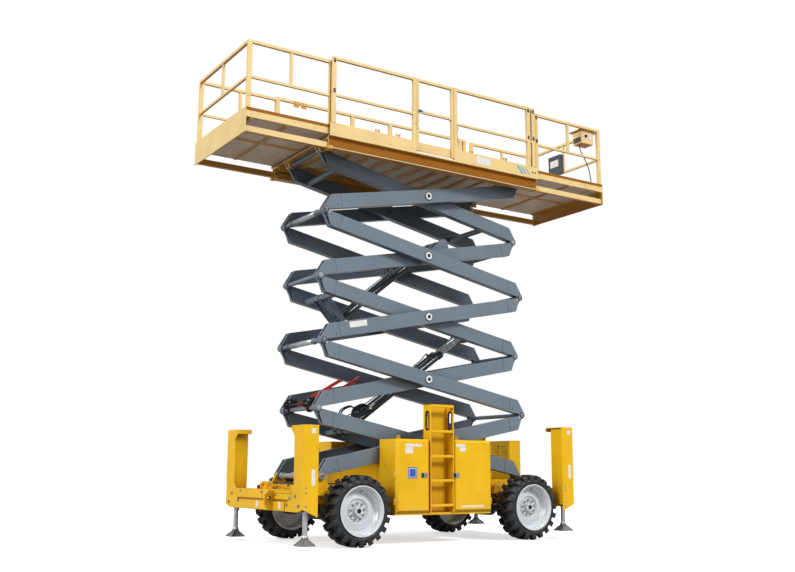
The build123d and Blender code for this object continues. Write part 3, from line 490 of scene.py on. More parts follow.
def tyre(place, hand, side):
    """Lugged tyre; the bars meet in a V that points the way the wheel rolls forward."""
    piece = Piece(f"{place}_{hand}_tyre_lugs", f"{place}_{hand}_wheel", "tyre", bevel=0)

    def spot(across, angle, radius):
        return (axle_x[place] + radius * math.sin(angle), side * tyre_mid + across,
                axle_z + radius * math.cos(angle))

    section = [(-a, r) for a, r in reversed(tyre_section[1:])] + tyre_section
    turns = np.linspace(0, math.tau, 120, endpoint=False)
    piece.loft([[spot(a, t, r) for a, r in section] for t in turns], None, True, closed=True)
    for k in range(lugs_round):
        for half_side, shift in ((1, 0.0), (-1, 0.5)):
            middle = (k + shift) * math.tau / lugs_round
            rings = []
            for across, turn_by, half, top, root in lug_rows:
                t, w = middle + math.radians(turn_by), math.radians(half)
                profile = ((-1.25, root), (-1, top - 0.003), (-0.8, top), (0.8, top), (1, top - 0.003),
                           (1.25, root))
                rings.append([spot(half_side * across, t + w * share, radius) for share, radius in profile])
            piece.loft(rings)
    made = piece.make()
    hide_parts(f"{place}_{hand}_tyre")


def wheel_details(place, hand, side):
    """Nuts, hub and valve in the dish of one rim, and the flange's bright lip and steps."""
    piece = Piece(f"{place}_{hand}_wheel_hub", f"{place}_{hand}_wheel", "wheel_paint", bevel=0.0015,
                  origin=(axle_x[place], 0, axle_z))
    out, face = Y * side, (0, side * rim_face, 0)
    piece.pin(face, out, 0, 0.016, 0.125, None, 40)
    piece.pin(face, out, 0.016, 0.060, 0.068, None, 32, 0.060)
    piece.pin(face, out, 0.060, 0.066, 0.030, "black", 24)
    for x, z in circle(9, 0.100, 0.3):
        piece.bolt((x, side * (rim_face + 0.016), z), out, 0.015, 0.030)
    for x, z in circle(5, 0.050, 0.1):
        piece.pin((x, side * rim_face, z), out, 0.060, 0.064, 0.006, "black", 10)
    valve = [(x, side * (rim_face + y), z) for x, y, z in ((0.03, 0.03, 0.235), (0.035, 0.085, 0.262))]
    piece.rod(*valve, 0.005, "black", 10)
    for y, inner, outer in ((1.1325, 0.307, 0.3205), (1.108, 0.291, 0.300), (1.060, 0.277, 0.289),
                            (1.020, 0.262, 0.276)):
        piece.ring((0, side * y, 0), out, inner, outer, 0.005, "pale_ring", 72)
    piece.make()


for place in axle_x:
    for hand, side in hands.items():
        tyre(place, hand, side)
        wheel_details(place, hand, side)

# ---------------------------------------------------------------- scissor arms
pivot_x, slide_x, pivot_z, stage_rise = -1.760, 1.6437, 0.892, 0.897
tube_angle = math.radians(11.4249)
arm_run, arm_pitch = 3.514, 0.205
inner_y, outer_y = (0.410, 0.520), (0.540, 0.650)
upper_pin = (arm_run, arm_pitch / 2)
tube_end, plug_at = 0.262, 0.20     # from either end of an arm
pin_cap = 0.008                     # how far the pins stand out of the arms


class Arm:
    """One arm's own axes: along the tube from its lower pin and across it."""

    def __init__(self, kind, stage):
        self.body = f"{kind}_arms_{stage}"
        side = 1 if (kind == "outer") == (stage % 2 == 1) else -1
        self.along = Vector((side * math.cos(tube_angle), 0, math.sin(tube_angle)))
        self.across = Vector((-side * math.sin(tube_angle), 0, math.cos(tube_angle)))
        lower = Vector((pivot_x if side > 0 else slide_x, 0, pivot_z + (stage - 1) * stage_rise))
        self.origin = lower + self.across * arm_pitch / 2

    def at(self, along, across, y):
        return self.origin + self.along * along + self.across * across + Y * y

    def slab(self, piece, along, across, y0, y1, look):
        """A box lying square to the arm."""
        (a0, a1), (c0, c1) = along, across
        corners = [(a0, c0), (a1, c0), (a1, c1), (a0, c1)]
        piece.loft([[self.at(a, c, y) for a, c in corners] for y in (y0, y1)], look)

    def weld_lines(self, piece, side, face):
        """Dark lines where the end bevels are welded to the tube."""
        for along in (tube_end, arm_run - tube_end):
            self.slab(piece, (along - 0.0015, along + 0.0015), (-0.099, 0.099), side * (face - 0.001),
                      side * (face + 0.0025), "black")


def outer_arm_details(stage):
    """Ringed centre pins, capped upper pins with their keepers, and plugs."""
    arm = Arm("outer", stage)
    piece = Piece(f"outer_pins_{stage}", arm.body, "arm_paint")
    face = outer_y[1]
    for side in (-1, 1):
        out = Y * side
        centre = arm.at(arm_run / 2, 0, side * (face + pin_cap))
        piece.ring(centre, out, 0.027, 0.054, 0.005, "pale_ring")
        piece.pin(centre, out, -0.012, 0.001, 0.029, "black", 28)
        piece.ring(centre, out, 0.054, 0.060, 0.003, "black")
        piece.ring(centre - out * 0.006, out, 0.052, 0.066, 0.002)
        pin = arm.at(*upper_pin, side * (face + pin_cap))
        piece.pin(pin, out, 0, 0.004, 0.033, None, 28)
        piece.ring(pin, out, 0.033, 0.038, 0.003, "black", 28)
        piece.pin(pin, out, 0, 0.005, 0.012, "pale_ring", 16)
        # a black bar across the pin's cap stands for its slot: painted shade of the groove
        piece.box(pin.x - 0.028, pin.x + 0.028, pin.y + side * 0.0035, pin.y + side * 0.006,
                  pin.z - 0.005, pin.z + 0.005, "black")
        keeper = arm.at(arm_run - 0.052, arm_pitch / 2 - 0.030, side * (face + 0.002))
        piece.bolt(keeper, out, 0.009, 0.008, "pale_ring")
        arm.weld_lines(piece, side, face)
        for along in (plug_at, arm_run - plug_at):
            piece.pin(arm.at(along, -0.05, side * face), out, 0, 0.004, 0.008, "black", 12)
    if stage == 3:
        arm.slab(piece, (0.43, 0.71), (0.000, 0.080), -face - 0.0015, -face + 0.001, "white_plate")
    piece.make()


def inner_arm_details(stage):
    arm = Arm("inner", stage)
    piece = Piece(f"inner_pins_{stage}", arm.body, "arm_paint")
    for side in (-1, 1):
        piece.ring(arm.at(arm_run / 2, 0, side * (inner_y[0] - 0.001)), -Y * side, 0.040, 0.062, 0.006)
        piece.pin(arm.at(*upper_pin, side * (inner_y[1] + pin_cap)), Y * side, 0, 0.004, 0.033, "steel", 28)
        arm.weld_lines(piece, side, inner_y[1])
    piece.make()


def shaft_sleeve(stage):
    """A bright sleeve and its collars on the full-width shaft of a rear joint that shows it."""
    arm = Arm("outer", stage)
    piece = Piece(f"shaft_sleeve_{stage}", arm.body, "shaft_paint", bevel=0)
    shaft = arm.at(*upper_pin, 0)
    piece.pin(shaft, Y, -0.404, 0.404, 0.0375, None, 40)
    for y in (-0.400, 0.360):
        piece.pin(shaft, Y, y, y + 0.04, 0.046, "arm_paint", 32)
    piece.make()


for stage in range(1, 6):
    outer_arm_details(stage)
    inner_arm_details(stage)
for stage in (2, 4):
    shaft_sleeve(stage)

# ---------------------------------------------------------------- lift cylinders and hoses
cylinder_y, barrel = 0.090, 0.048
cylinders = {
    # pair: base (stage, along, across), head (stage, along, across), barrel mouth, rod radius, first port
    "lower": ((1, 0.802 * arm_run, -0.055), (3, 0.209 * arm_run, 0.055), 2.030, 0.032, 0.18),
    "upper": ((3, 0.8147 * arm_run, -0.293), (4, 0.6158 * arm_run, 0.156), 1.450, 0.029, 0.42),
}
fittings_at, fittings_y = 0.54, 0.185
# looped hoses of the lower pair: (across, start along the barrel, how far out it bulges, end along it)
hose_loops = [(-0.230, 0.14, 0.215, 0.460), (-0.212, 0.17, 0.195, 0.475), (-0.194, 0.20, 0.175, 0.490),
              (-0.176, 0.23, 0.150, 0.505), (0.176, 0.17, 0.200, 0.470), (0.200, 0.21, 0.170, 0.490)]


def looped_hoses(piece, at, above):
    """A cluster of bright fittings beside the barrels, fed by a bunch of looped hoses."""
    for side in (-1, 1):
        y = side * fittings_y
        piece.rod(at(fittings_at - 0.05, 0.040, y), at(fittings_at + 0.05, 0.040, y), 0.030, None, 8)
        piece.rod(at(fittings_at, 0.020, side * cylinder_y), at(fittings_at, 0.040, y), 0.018, None, 12)
        for shift in (-0.035, 0.0, 0.035):
            piece.bolt(at(fittings_at + shift, 0.064, y), above, 0.014, 0.030, "pale_ring")
    for y, start, bulge, end in hose_loops:
        middle = start + 0.35 * (end - start)
        foot = math.copysign(cylinder_y + 0.030, y)
        piece.hose([at(start, 0.030, foot), at(start - 0.010, 0.6 * bulge, y), at(middle - 0.02, bulge, y),
                    at(end - 0.06, 0.85 * bulge, y), at(end, 0.065, y)], 0.0105)
        piece.rod(at(start + 0.004, 0.015, foot * 0.95), at(start, 0.055, foot * 1.12), 0.015,
                  "pale_ring", 8)
        piece.rod(at(end - 0.012, 0.080, y), at(end + 0.022, 0.052, y), 0.0155, "pale_ring", 8)


def cylinder_details(pair):
    """Glands, collars, ports and a hard line on a pair of barrels."""
    *ends, mouth, rod_radius, port = cylinders[pair]
    base, head = (Arm("inner", stage).at(along, across, 0) for stage, along, across in ends)
    along = (head - base).normalized()
    above = Vector((-along.z, 0, along.x))
    piece = Piece(f"{pair}_cylinder_fittings", f"{pair}_cylinder_barrels", "cylinder_paint")

    def at(distance, up, y):
        return base + along * distance + above * up + Y * y

    line = [(port, 0.040), (port + 0.08, 0.052), (port + 0.22, 0.030), (mouth * 0.5, 0.016),
            (mouth - 0.30, 0.016), (mouth - 0.15, 0.034), (mouth - 0.09, 0.040)]
    collars = [(mouth - 0.055, mouth + 0.012, 0.009)]
    collars += [(spot - 0.012, spot + 0.012, 0.003) for spot in (0.55, mouth * 0.5, mouth - 0.35)]
    if pair == "lower":
        collars.append((0.10, 0.14, 0.008))
        looped_hoses(piece, at, above)
    for y in (-cylinder_y, cylinder_y):
        for start, end, proud in collars:
            piece.pin(at(0, 0, y), along, start, end, barrel + proud, None, 32)
        piece.pin(at(0, 0, y), along, mouth + 0.012, mouth + 0.020, rod_radius + 0.006, "steel", 32)
        for spot in (port, mouth - 0.09):
            piece.pin(at(spot, 0, y), above, barrel - 0.004, barrel + 0.030, 0.015, None, 16)
            piece.bolt(at(spot, barrel + 0.028, y), above, 0.013, 0.018)
        piece.hose([at(distance, barrel + up, y) for distance, up in line], 0.008, None)
    piece.make()


for pair in cylinders:
    cylinder_details(pair)

# ---------------------------------------------------------------- boxes, doors and ladder
box_face, box_top = 1.090, 1.381
box_rear, box_front = -0.886, 0.705
doors = {
    # door: hand, from x, to x, which end its latch is at
    "right_rear": (-1, box_rear, -0.346, 1),
    "right_front": (-1, 0.056, box_front, -1),
    "left_rear": (1, box_rear, -0.0985, 1),
    "left_front": (1, -0.0825, box_front, -1),
}
door_plates = {
    # door: (from x, to x, from z, to z, look)
    "right_rear": [(-0.745, -0.485, 1.280, 1.318, "white_plate"),
                   (-0.745, -0.625, 1.190, 1.272, "white_plate"),
                   (-0.705, -0.560, 0.865, 1.010, "blue_plate")],
    "right_front": [(0.088, 0.250, 1.290, 1.325, "white_plate"), (0.150, 0.250, 1.225, 1.285, "white_plate"),
                    (0.170, 0.560, 0.478, 0.500, "white_plate")],
}


def latch(piece, x, face, side):
    """A flush paddle latch on a steel plate."""
    z = 0.905
    piece.plate(x - 0.052, x + 0.052, face, side, z - 0.036, z + 0.036, "steel", 0.003)
    for x0, x1, proud, half, look in ((-0.044, -0.006, 0.005, 0.028, "black"),
                                      (-0.002, 0.044, 0.008, 0.020, "steel")):
        piece.box(x + x0, x + x1, face + side * 0.003, face + side * proud, z - half, z + half, look)
    piece.pin((x + 0.030, face, z), Y * side, 0.008, 0.011, 0.007, "black", 12)
    for dx in (-0.046, 0.046):
        piece.pin((x + dx, face, z + 0.030), Y * side, 0.003, 0.005, 0.004, "steel", 8)


def door_details(name):
    """Latch, blank plates and the hinges' screws."""
    side, x0, x1, latch_end = doors[name]
    piece = Piece(f"{name}_door_details", f"{name}_door", "chassis_paint")
    face = side * box_face
    latch(piece, x1 - 0.098 if latch_end > 0 else x0 + 0.030, face, side)
    hidden_side = [(x0 + 0.10, x0 + 0.235, 1.245, 1.325, "white_plate"),
                   (x0 + 0.10, x0 + 0.175, 1.205, 1.240, "white_plate")]
    for a, b, low, high, look in door_plates.get(name, hidden_side):
        piece.plate(a, b, face, side, low, high, look)
    if name == "right_rear":
        piece.box(-0.692, -0.573, face + side * 0.001, face + side * 0.0018, 0.878, 0.997, "white_plate")
        piece.box(-0.684, -0.581, face + side * 0.0015, face + side * 0.0024, 0.886, 0.989, "blue_plate")
    hinge_x = x0 - 0.0105 if latch_end > 0 else x1 + 0.0105
    for z in (0.560, 0.910, 1.240):
        piece.pin((hinge_x, side * 1.048, z), Z, 0.040, 0.046, 0.0125, "steel", 16)
        for dz in (0.010, 0.030):
            piece.pin((hinge_x, side * 1.060, z + dz), X * latch_end, 0.036, 0.006, 0.005, "steel", 8)
    piece.make()


for name in doors:
    door_details(name)


def box_top_details():
    """Bolts and a lifting eye on the boxes' tops, and bolts on their ends."""
    piece = Piece("box_top_details", "chassis", "steel")
    for side, x0, x1, _ in doors.values():
        mid = (x0 + x1) / 2
        for x in (x0 + 0.05, mid - 0.09, x1 - 0.05):
            piece.bolt((x, side * 0.90, box_top), Z, 0.008, 0.006)
        piece.ring((mid, side * 0.708 - 0.001, box_top + 0.040), Y, 0.0135, 0.019, 0.0145, sides=24)
    for side in (-1, 1):
        for end, out in ((box_rear, -X), (box_front, X)):
            for z in (0.70, 1.05):
                piece.bolt((end, side * 0.80, z), out, 0.008, 0.005)
    piece.make()


def ladder_details():
    """Black grip trims round the oval handholds, ribs on the treads and side plates' bolts."""
    piece = Piece("ladder_trim", "chassis", "chassis_paint", bevel=0)
    slot_y, slot_z, half = -1.015, 1.636, 0.085
    for x in (-0.334, 0.044):
        line = [Vector((x, slot_y + a, slot_z + (half if b > 0 else -half) + b))
                for a, b in circle(40, 0.040)]
        rings = []
        for k, centre in enumerate(line):
            out = (line[(k + 1) % 40] - line[k - 1]).normalized().cross(X)
            rings.append([centre + out * a + X * 0.9 * b for a, b in circle(8, 0.014)])
        piece.loft(rings, "black", True, closed=True)
    for z in (0.509, 0.835, 1.158, 1.491, 1.835):
        for y in (-1.083, -1.071, -1.059):
            piece.box(-0.320, 0.030, y - 0.003, y + 0.003, z + 0.0145, z + 0.0195)
        for x, out in ((-0.327, X), (0.037, -X)):
            piece.bolt((x, -1.068, z), out, 0.006, 0.004, washer=False)
    piece.make()


box_top_details()
ladder_details()

# ---------------------------------------------------------------- outrigger frames
columns = {
    # end: sign, rear face, front face, top, the foot's height
    "rear": (-1, -2.300, -2.090, 1.524, 0.052),
    "front": (1, 1.950, 2.165, 1.602, 0.112),
}
jack_y, column_face = 1.040, 1.170
# lower tier of a cross-beam and its upper one's joint plates: (from y, to y, from z, to z, how far proud)
beam_plates = [(-0.690, 0.690, 0.462, 0.574, 0.013), (-0.020, 0.700, 0.602, 0.708, 0.006),
               (-0.860, -0.400, 0.602, 0.676, 0.006), (-0.860, -0.400, 0.680, 0.708, 0.012)]
beam_bolts = [(-0.002, 0.686), (0.650, 0.692), (0.740, 0.560), (-0.425, 0.660), (-0.824, 0.620),
              (-0.968, 0.649), (-1.060, 0.531), (0.968, 0.649), (1.060, 0.531), (-0.740, 0.540)]


def outrigger_details(end):
    """Rivets, bolts, blank plates and jack collars on the columns, plates and bolts on the cross-beam."""
    sign, x0, x1, top, _ = columns[end]
    outer, mid = x0 if sign < 0 else x1, (x0 + x1) / 2
    piece = Piece(f"{end}_outrigger_details", "chassis", "chassis_paint", bevel=0.0015)
    for side in (-1, 1):
        face = side * column_face
        for x in (x0 + 0.022, x1 - 0.022):
            for z in np.linspace(0.62, top - 0.10, 5):
                piece.pin((x, face, z), Y * side, 0, 0.0025, 0.007, None, 12)
        piece.plate(mid + 0.005, mid + 0.065, face, side, top - 0.105, top - 0.045, "white_plate")
        oval = [(mid + 0.035 + a, top - 0.645 + (0.075 if b > 0 else -0.075) + b)
                for a, b in circle(24, 0.026)]
        piece.prism(oval, face - side * 0.001, face + side * 0.0014, "white_plate")
        for z in (0.47, 0.53, 0.69, 0.75):
            piece.bolt((mid - 0.06, face, z), Y * side, 0.010, 0.006)
        piece.bolt((mid + 0.06, side * jack_y, top), Z, 0.016, 0.010)
        piece.ring((mid, side * jack_y, 0.472), Z, 0.036, 0.052, 0.016, sides=32)
        piece.ring((mid, side * jack_y, 0.462), Z, 0.0345, 0.044, 0.012, "black", 32)
    for y0, y1, low, high, proud in beam_plates:
        piece.box(outer, outer + sign * proud, y0, y1, low, high)
    for y, z in beam_bolts:
        piece.bolt((outer + sign * 0.006, y, z), X * sign, 0.015, 0.012)
    for y in (0.070, -0.590):
        piece.box(outer, outer + sign * 0.0155, y, y + 0.065, 0.485, 0.572, "white_plate")
    if end == "rear":
        for side in (-1, 1):
            tow_eye = (outer - 0.072, -0.350 + side * 0.015, 0.615)
            piece.ring(tow_eye, Y * side, 0.032, 0.052, 0.006, sides=32)
            piece.ring(tow_eye, Y * side, 0.024, 0.032, 0.004, "black", 32)
    piece.make()


def jack(end, hand, side):
    """The bright tube with its wiper, and a pyramid foot with ribs and a ball collar."""
    _, x0, x1, top, foot_z = columns[end]
    piece = Piece(f"{end}_{hand}_jack_leg", f"{end}_{hand}_jack", "foot_paint", bevel=0.0012,
                  origin=((x0 + x1) / 2, side * jack_y, foot_z))
    for tier in (((0.138, 0.0), (0.145, 0.003), (0.145, 0.010), (0.138, 0.013)),
                 ((0.112, 0.012), (0.056, 0.058), (0.046, 0.086))):
        piece.loft([[(x, y, z) for x, y in circle(4, reach, 0.5)] for reach, z in tier])
    rib = [(0.030, 0.010), (0.134, 0.010), (0.130, 0.022), (0.052, 0.080), (0.030, 0.080)]
    for a, b in circle(4, 1, 0.5):
        piece.loft([[(a * r - b * w, b * r + a * w, z) for r, z in rib] for w in (-0.005, 0.005)])
    piece.pin((0, 0, 0), Z, 0.082, 0.100, 0.047, None, 32)
    piece.pin((0, 0, 0), Z, 0.100, 0.124, 0.040, "jack_steel", 32, 0.036)
    piece.pin((0, 0, 0), Z, 0.095, top - 0.400 - foot_z, 0.032, "jack_steel", 40)
    made = piece.make()
    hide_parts(f"{end}_{hand}_jack")


for end in columns:
    outrigger_details(end)
    for hand, side in hands.items():
        jack(end, hand, side)

# ---------------------------------------------------------------- chassis
prop_angle, prop_y = math.radians(30), 0.280


def hood_details():
    """Pressed louvres over the hood's slots, and bolts."""
    piece = Piece("hood_louvres", "chassis", "chassis_paint", bevel=0.0008, origin=(1.815, 0, 1.425))
    louvre = [(0.002, 0.014), (-0.006, 0.011), (-0.016, -0.007), (-0.014, -0.010), (-0.002, 0.005),
              (0.002, 0.006)]
    for row in range(5):
        for y in (-0.065, 0.125):
            piece.prism([(a, b - 0.070 - row * 0.046) for a, b in louvre], y, y + 0.110)
    for y in (-0.120, 0.405):
        for z in (-0.565, -0.325, -0.045):
            piece.bolt((0, y, z), -X, 0.007, 0.004)
    piece.box(-0.003, 0.218, -0.138, -0.1345, -0.012, 0.003)
    piece.make()


def valve_block(piece):
    """Valve block with its row of hoses, and clevis brackets and a coupling on the cross-beam."""
    piece.box(-2.060, -1.900, -0.180, 0.140, 0.640, 0.735)
    for y in (-0.15, -0.09, -0.03, 0.03, 0.09):
        piece.pin((-2.020, y, 0.735), Z, 0, 0.040, 0.017)
        piece.pin((-2.020, y, 0.735), Z, 0.040, 0.051, 0.011, "steel", 16)
        piece.bolt((-1.930, y, 0.735), Z, 0.014, 0.016)
        piece.hose([(-1.930, y, 0.750), (-1.920, y, 0.800), (-1.860, y * 0.9, 0.805),
                    (-1.800, y * 0.8, 0.770), (-1.700, y * 0.7, 0.770)], 0.009)
    for y in (0.040, 0.170):
        piece.box(-2.240, -2.130, y - 0.012, y + 0.012, 0.720, 0.815)
        piece.ring((-2.185, y - 0.020, 0.790), Y, 0.018, 0.034, 0.040, sides=28)
    piece.pin((-2.185, 0, 0.790), Y, 0.015, 0.195, 0.017, "steel")
    piece.box(-2.225, -2.150, 0.060, 0.150, 0.720, 0.760, "orange")
    piece.pin((-2.190, 0, 0.745), Y, 0.235, 0.325, 0.030, "black")
    piece.pin((-2.190, 0, 0.745), Y, 0.325, 0.350, 0.022, "steel", 12)
    piece.hose([(-2.190, 0.240, 0.760), (-2.150, 0.200, 0.800), (-2.060, 0.150, 0.800),
                (-1.960, 0.100, 0.775)], 0.010)


def frame_side(piece, side):
    """Amber brackets with steel pins by the wheels, hoses to the front wheels, and rows of bolts."""
    for x, y0, y1 in ((0.895, 0.520, 0.640), (-0.972, 0.520, 0.640), (1.170, 0.530, 0.600),
                      (1.240, 0.530, 0.600)):
        near, far = sorted((side * y0, side * y1))
        piece.box(x - 0.032, x + 0.032, near, far, 0.640, 0.700, "orange")
        piece.box(x - 0.024, x + 0.024, near, far, 0.700, 0.735, "orange")
        for y in (near, far):
            piece.ring((x, y - 0.006, 0.752), Y, 0.013, 0.032, 0.012, "orange", 28)
        piece.pin((x, 0, 0.752), Y, near - 0.010, far + 0.010, 0.0125, "steel", 16)
    for line in ([(0.90, 0.545, 0.690), (1.02, 0.545, 0.650), (1.16, 0.565, 0.560), (1.28, 0.600, 0.520),
                  (1.34, 0.610, 0.500)],
                 [(0.90, 0.565, 0.690), (1.04, 0.555, 0.670), (1.20, 0.590, 0.590), (1.30, 0.625, 0.540),
                  (1.36, 0.635, 0.500)]):
        piece.hose([(x, side * y, z) for x, y, z in line], 0.011)
    for x in np.linspace(-1.95, 1.85, 14):
        if not -0.95 < x < 0.76:
            piece.bolt((x, side * 0.520, 0.745), Y * side, 0.010, 0.008)
    for x in axle_x.values():
        for a, b in circle(8, 0.125):
            piece.bolt((x + a, side * 0.130, axle_z + b), Y * side, 0.009, 0.008)


def axle_drives(piece):
    """A drive motor and its hose on each axle, and the steering ram behind the front one."""
    for x, toward in zip(axle_x.values(), (1, -1)):
        for start, end, radius, look in ((0.10, 0.30, 0.085, "black"), (0.30, 0.46, 0.105, "cylinder_paint"),
                                         (0.46, 0.475, 0.075, "steel")):
            piece.pin((x, 0, axle_z), X * toward, start, end, radius, look, 28)
        for a, b in circle(6, 0.088):
            piece.bolt((x + toward * 0.46, a, axle_z + b), X * toward, 0.008, 0.008)
        line = [(0.38, 0.02, 0.55), (0.38, 0.05, 0.62), (0.44, 0.14, 0.70), (0.44, 0.20, 0.765)]
        piece.hose([(x + toward * a, y, z) for a, y, z in line], 0.012)
    ram = (1.270, 0, 0.480)
    piece.pin(ram, Y, -0.33, 0.33, 0.032, "cylinder_paint", 28)
    for side in (-1, 1):
        piece.pin(ram, Y * side, 0.33, 0.62, 0.016, "steel")
        piece.pin(ram, Y * side, 0.315, 0.335, 0.038, "cylinder_paint", 28)
        piece.box(1.255, 1.375, side * 0.20, side * 0.24, 0.455, 0.505, "black")


def chassis_details():
    """Hydraulic blocks, hoses, bolts and brackets along the frame."""
    piece = Piece("chassis_hydraulics", "chassis", "chassis_paint", bevel=0.002)
    valve_block(piece)
    for side in (-1, 1):
        frame_side(piece, side)
    for end_y, mid_y in ((0.20, 0.24), (0.24, 0.27)):
        piece.hose([(-1.60, end_y, 0.77), *((x, mid_y, 0.775) for x in (-1.2, -0.4, 0.4, 1.2)),
                    (1.75, end_y, 0.77)], 0.013)
    axle_drives(piece)
    piece.make()


def pivot_details():
    """The shaft and keepers of the chassis pivots at the rear, and bolts on the front tracks."""
    piece = Piece("pivot_details", "chassis", "steel")
    pivot, cap = (pivot_x, 0, pivot_z), outer_y[1] + pin_cap
    piece.pin(pivot, Y, -0.500, 0.500, 0.036, "shaft_paint", 36)
    for y in (-0.505, 0.465):
        piece.pin(pivot, Y, y, y + 0.040, 0.046, "shaft_paint", 32)
    for side in (-1, 1):
        piece.pin(pivot, Y * side, cap, cap + 0.004, 0.033, None, 28)
        # a black bar across the pin's cap stands for its slot: painted shade of the groove
        piece.box(pivot_x - 0.022, pivot_x + 0.022, side * (cap + 0.0035), side * (cap + 0.006),
                  pivot_z - 0.006, pivot_z + 0.006, "black")
        for x in np.linspace(0.75, 1.70, 6):
            piece.bolt((x, side * 0.483, 0.80), Y * side, 0.008, 0.006)
    piece.make()


def prop_details():
    """Black hinge brackets, latch plates, pins and grips on the red prop."""
    along = Vector((math.cos(prop_angle), 0, math.sin(prop_angle)))
    above = Vector((-along.z, 0, along.x))
    latch_plate = [(-0.050, 0.000), (-0.100, 0.040), (-0.092, 0.100), (-0.030, 0.148), (0.060, 0.138),
                   (0.100, 0.090), (0.040, 0.030)]
    catch = Vector((-0.070, 0, 0.060))
    piece = Piece("prop_fittings", "safety_prop", "black", origin=(pivot_x, 0, pivot_z + stage_rise))
    for y in (-prop_y, prop_y):
        hinge = Y * y
        for start in (-0.016, 0.013):
            piece.ring(hinge + Y * start, Y, 0.031, 0.056, 0.003)
        for far in (0.16, 0.28, 0.84):
            piece.pin(hinge + along * far, Y, -0.017, 0.017, 0.010, "steel", 14)
        for start in (-0.035, 0.023):
            piece.prism(latch_plate, y + start, y + start + 0.006)
        piece.pin(hinge + Vector((-0.040, 0, 0.105)), Y, -0.040, 0.036, 0.017, "steel")
        piece.pin(hinge + catch, Y, -0.038, 0.034, 0.012, "steel", 16)
    piece.pin(catch, Y, -prop_y, prop_y, 0.011, None, 16)
    for far in (0.20, 0.29):
        for y in (-0.05, 0.05):
            piece.pin(along * far + above * 0.055 + Y * y, above, -0.040, 0, 0.006, None, 10)
    piece.make()


hood_details()
chassis_details()
pivot_details()
prop_details()

# ---------------------------------------------------------------- platform
deck_x = (-1.866, 1.846)
floor_top, deck_half = 5.450, 0.915
toe_top, rail_mid, rail_top = floor_top + 0.178, floor_top + 0.600, floor_top + 1.140
tips = {"rear": (-1, -3.098), "front": (1, 3.286)}
extension_floor, extension_top = 5.486, rail_top - 0.044
deck_bay = (deck_x[1] - 0.060 - deck_x[0]) / 12


def deck_details():
    """Seams, lips and the painted shade on the webs of the side beams, the toe boards' plates, bolts and
    stripe, end brackets.
    """
    piece = Piece("deck_details", "platform", "platform_paint")
    for side in (-1, 1):
        face, out = side * deck_half, Y * side
        for x in (-0.430, 0.190):
            piece.box(x - 0.002, x + 0.002, face - side * 0.048, face - side * 0.0515, 5.275, 5.44, "seam")
            piece.box(x - 0.010, x + 0.010, face - side * 0.062, face, 5.262, 5.268)
        # painted shade on the web of the rolled side beam, beneath the toe board's overhang; a darker
        # painted shade on its lower third, where the beam turns to face further down
        for a, b in ((deck_x[0] + 0.003, -0.432), (-0.428, 0.188), (0.192, deck_x[1] - 0.003)):
            piece.box(a, b, face - side * 0.0485, face - side * 0.0505, 5.271, 5.438, "amber_web")
            piece.box(a, b, face - side * 0.0485, face - side * 0.0470, 5.271, 5.312, "amber_dark")
        for x in (-1.80, -1.35, -0.90, 0.60, 1.05, 1.50, 1.79):
            piece.pin((x, face, floor_top + 0.030), out, 0, 0.003, 0.007, "steel", 12)
        for x in (1.735, 1.790):
            piece.pin((x, face, floor_top + 0.085), out, 0, 0.0025, 0.016, "seam", 16)
        # stripe of three slanted bars by the front end
        high, low, lean = floor_top + 0.150, floor_top + 0.030, 0.105
        for a, width in ((1.405, 0.050), (1.485, 0.034), (1.565, 0.020)):
            piece.prism([(a, high), (a + width, high), (a + width + lean, low), (a + lean, low)],
                        *sorted((face - side * 0.001, face + side * 0.0012)), "stripe")
        for x0, x1, low, high, look in ((0.640, 0.900, 0.035, 0.150, "white_plate"),
                                        (-1.52, -1.18, 0.050, 0.120, None),
                                        (-1.00, -0.52, 0.040, 0.115, None)):
            piece.plate(x0, x1, face, side, floor_top + low, floor_top + high, look)
        # end brackets that guide the extension decks
        for x, end in zip(deck_x, (-1, 1)):
            a, b = x + end * 0.012, x - end * 0.045
            piece.box(a, b, side * 0.862, side * 0.914, 5.255, 5.300, "orange")
            piece.box(a, b, side * 0.770, side * 0.794, 5.262, 5.372, "orange")
            piece.pin((x - end * 0.02, 0, 5.320), out, 0.765, 0.795, 0.022, "steel")
            for z in (5.275, 5.290):
                piece.bolt((x - end * 0.015, side * 0.914, z), out, 0.007, 0.001, washer=False)
    piece.make()


def floor_panels(name, body, x_spans, y_spans, top):
    """Thin expanded-metal panels just beneath a floor, one to a bay."""
    piece = Piece(name, body, "panel", bevel=0)
    for x0, x1 in x_spans:
        for y0, y1 in y_spans:
            piece.box(x0, x1, y0, y1, top - 0.002, top + 0.001)
    piece.make()


def extension_ends(end):
    """Which way an extension deck points, its tip and the main deck's end beside it."""
    sign, tip = tips[end]
    return sign, tip, deck_x[0] if sign < 0 else deck_x[1]


def end_bays(end):
    """The two bays of an extension deck along X."""
    sign, tip, main = extension_ends(end)
    a, b = sorted((tip - sign * 0.016, main - sign * 0.150))
    bars = sorted([a + 0.054, (tip + main) / 2 - 0.025, b - 0.050])
    return [(left + 0.052, right - 0.002) for left, right in zip(bars, bars[1:])]


def post_pin(piece, x, y, z, side, pad="black"):
    """A pad and its locking pin where a folding rail drops into a post."""
    piece.box(x - 0.016, x + 0.016, y + side * 0.0195, y + side * 0.0245, z - 0.028, z + 0.028, pad)
    piece.pin((x, y, z), Y * side, -0.024, 0.030, 0.006, "steel", 12)


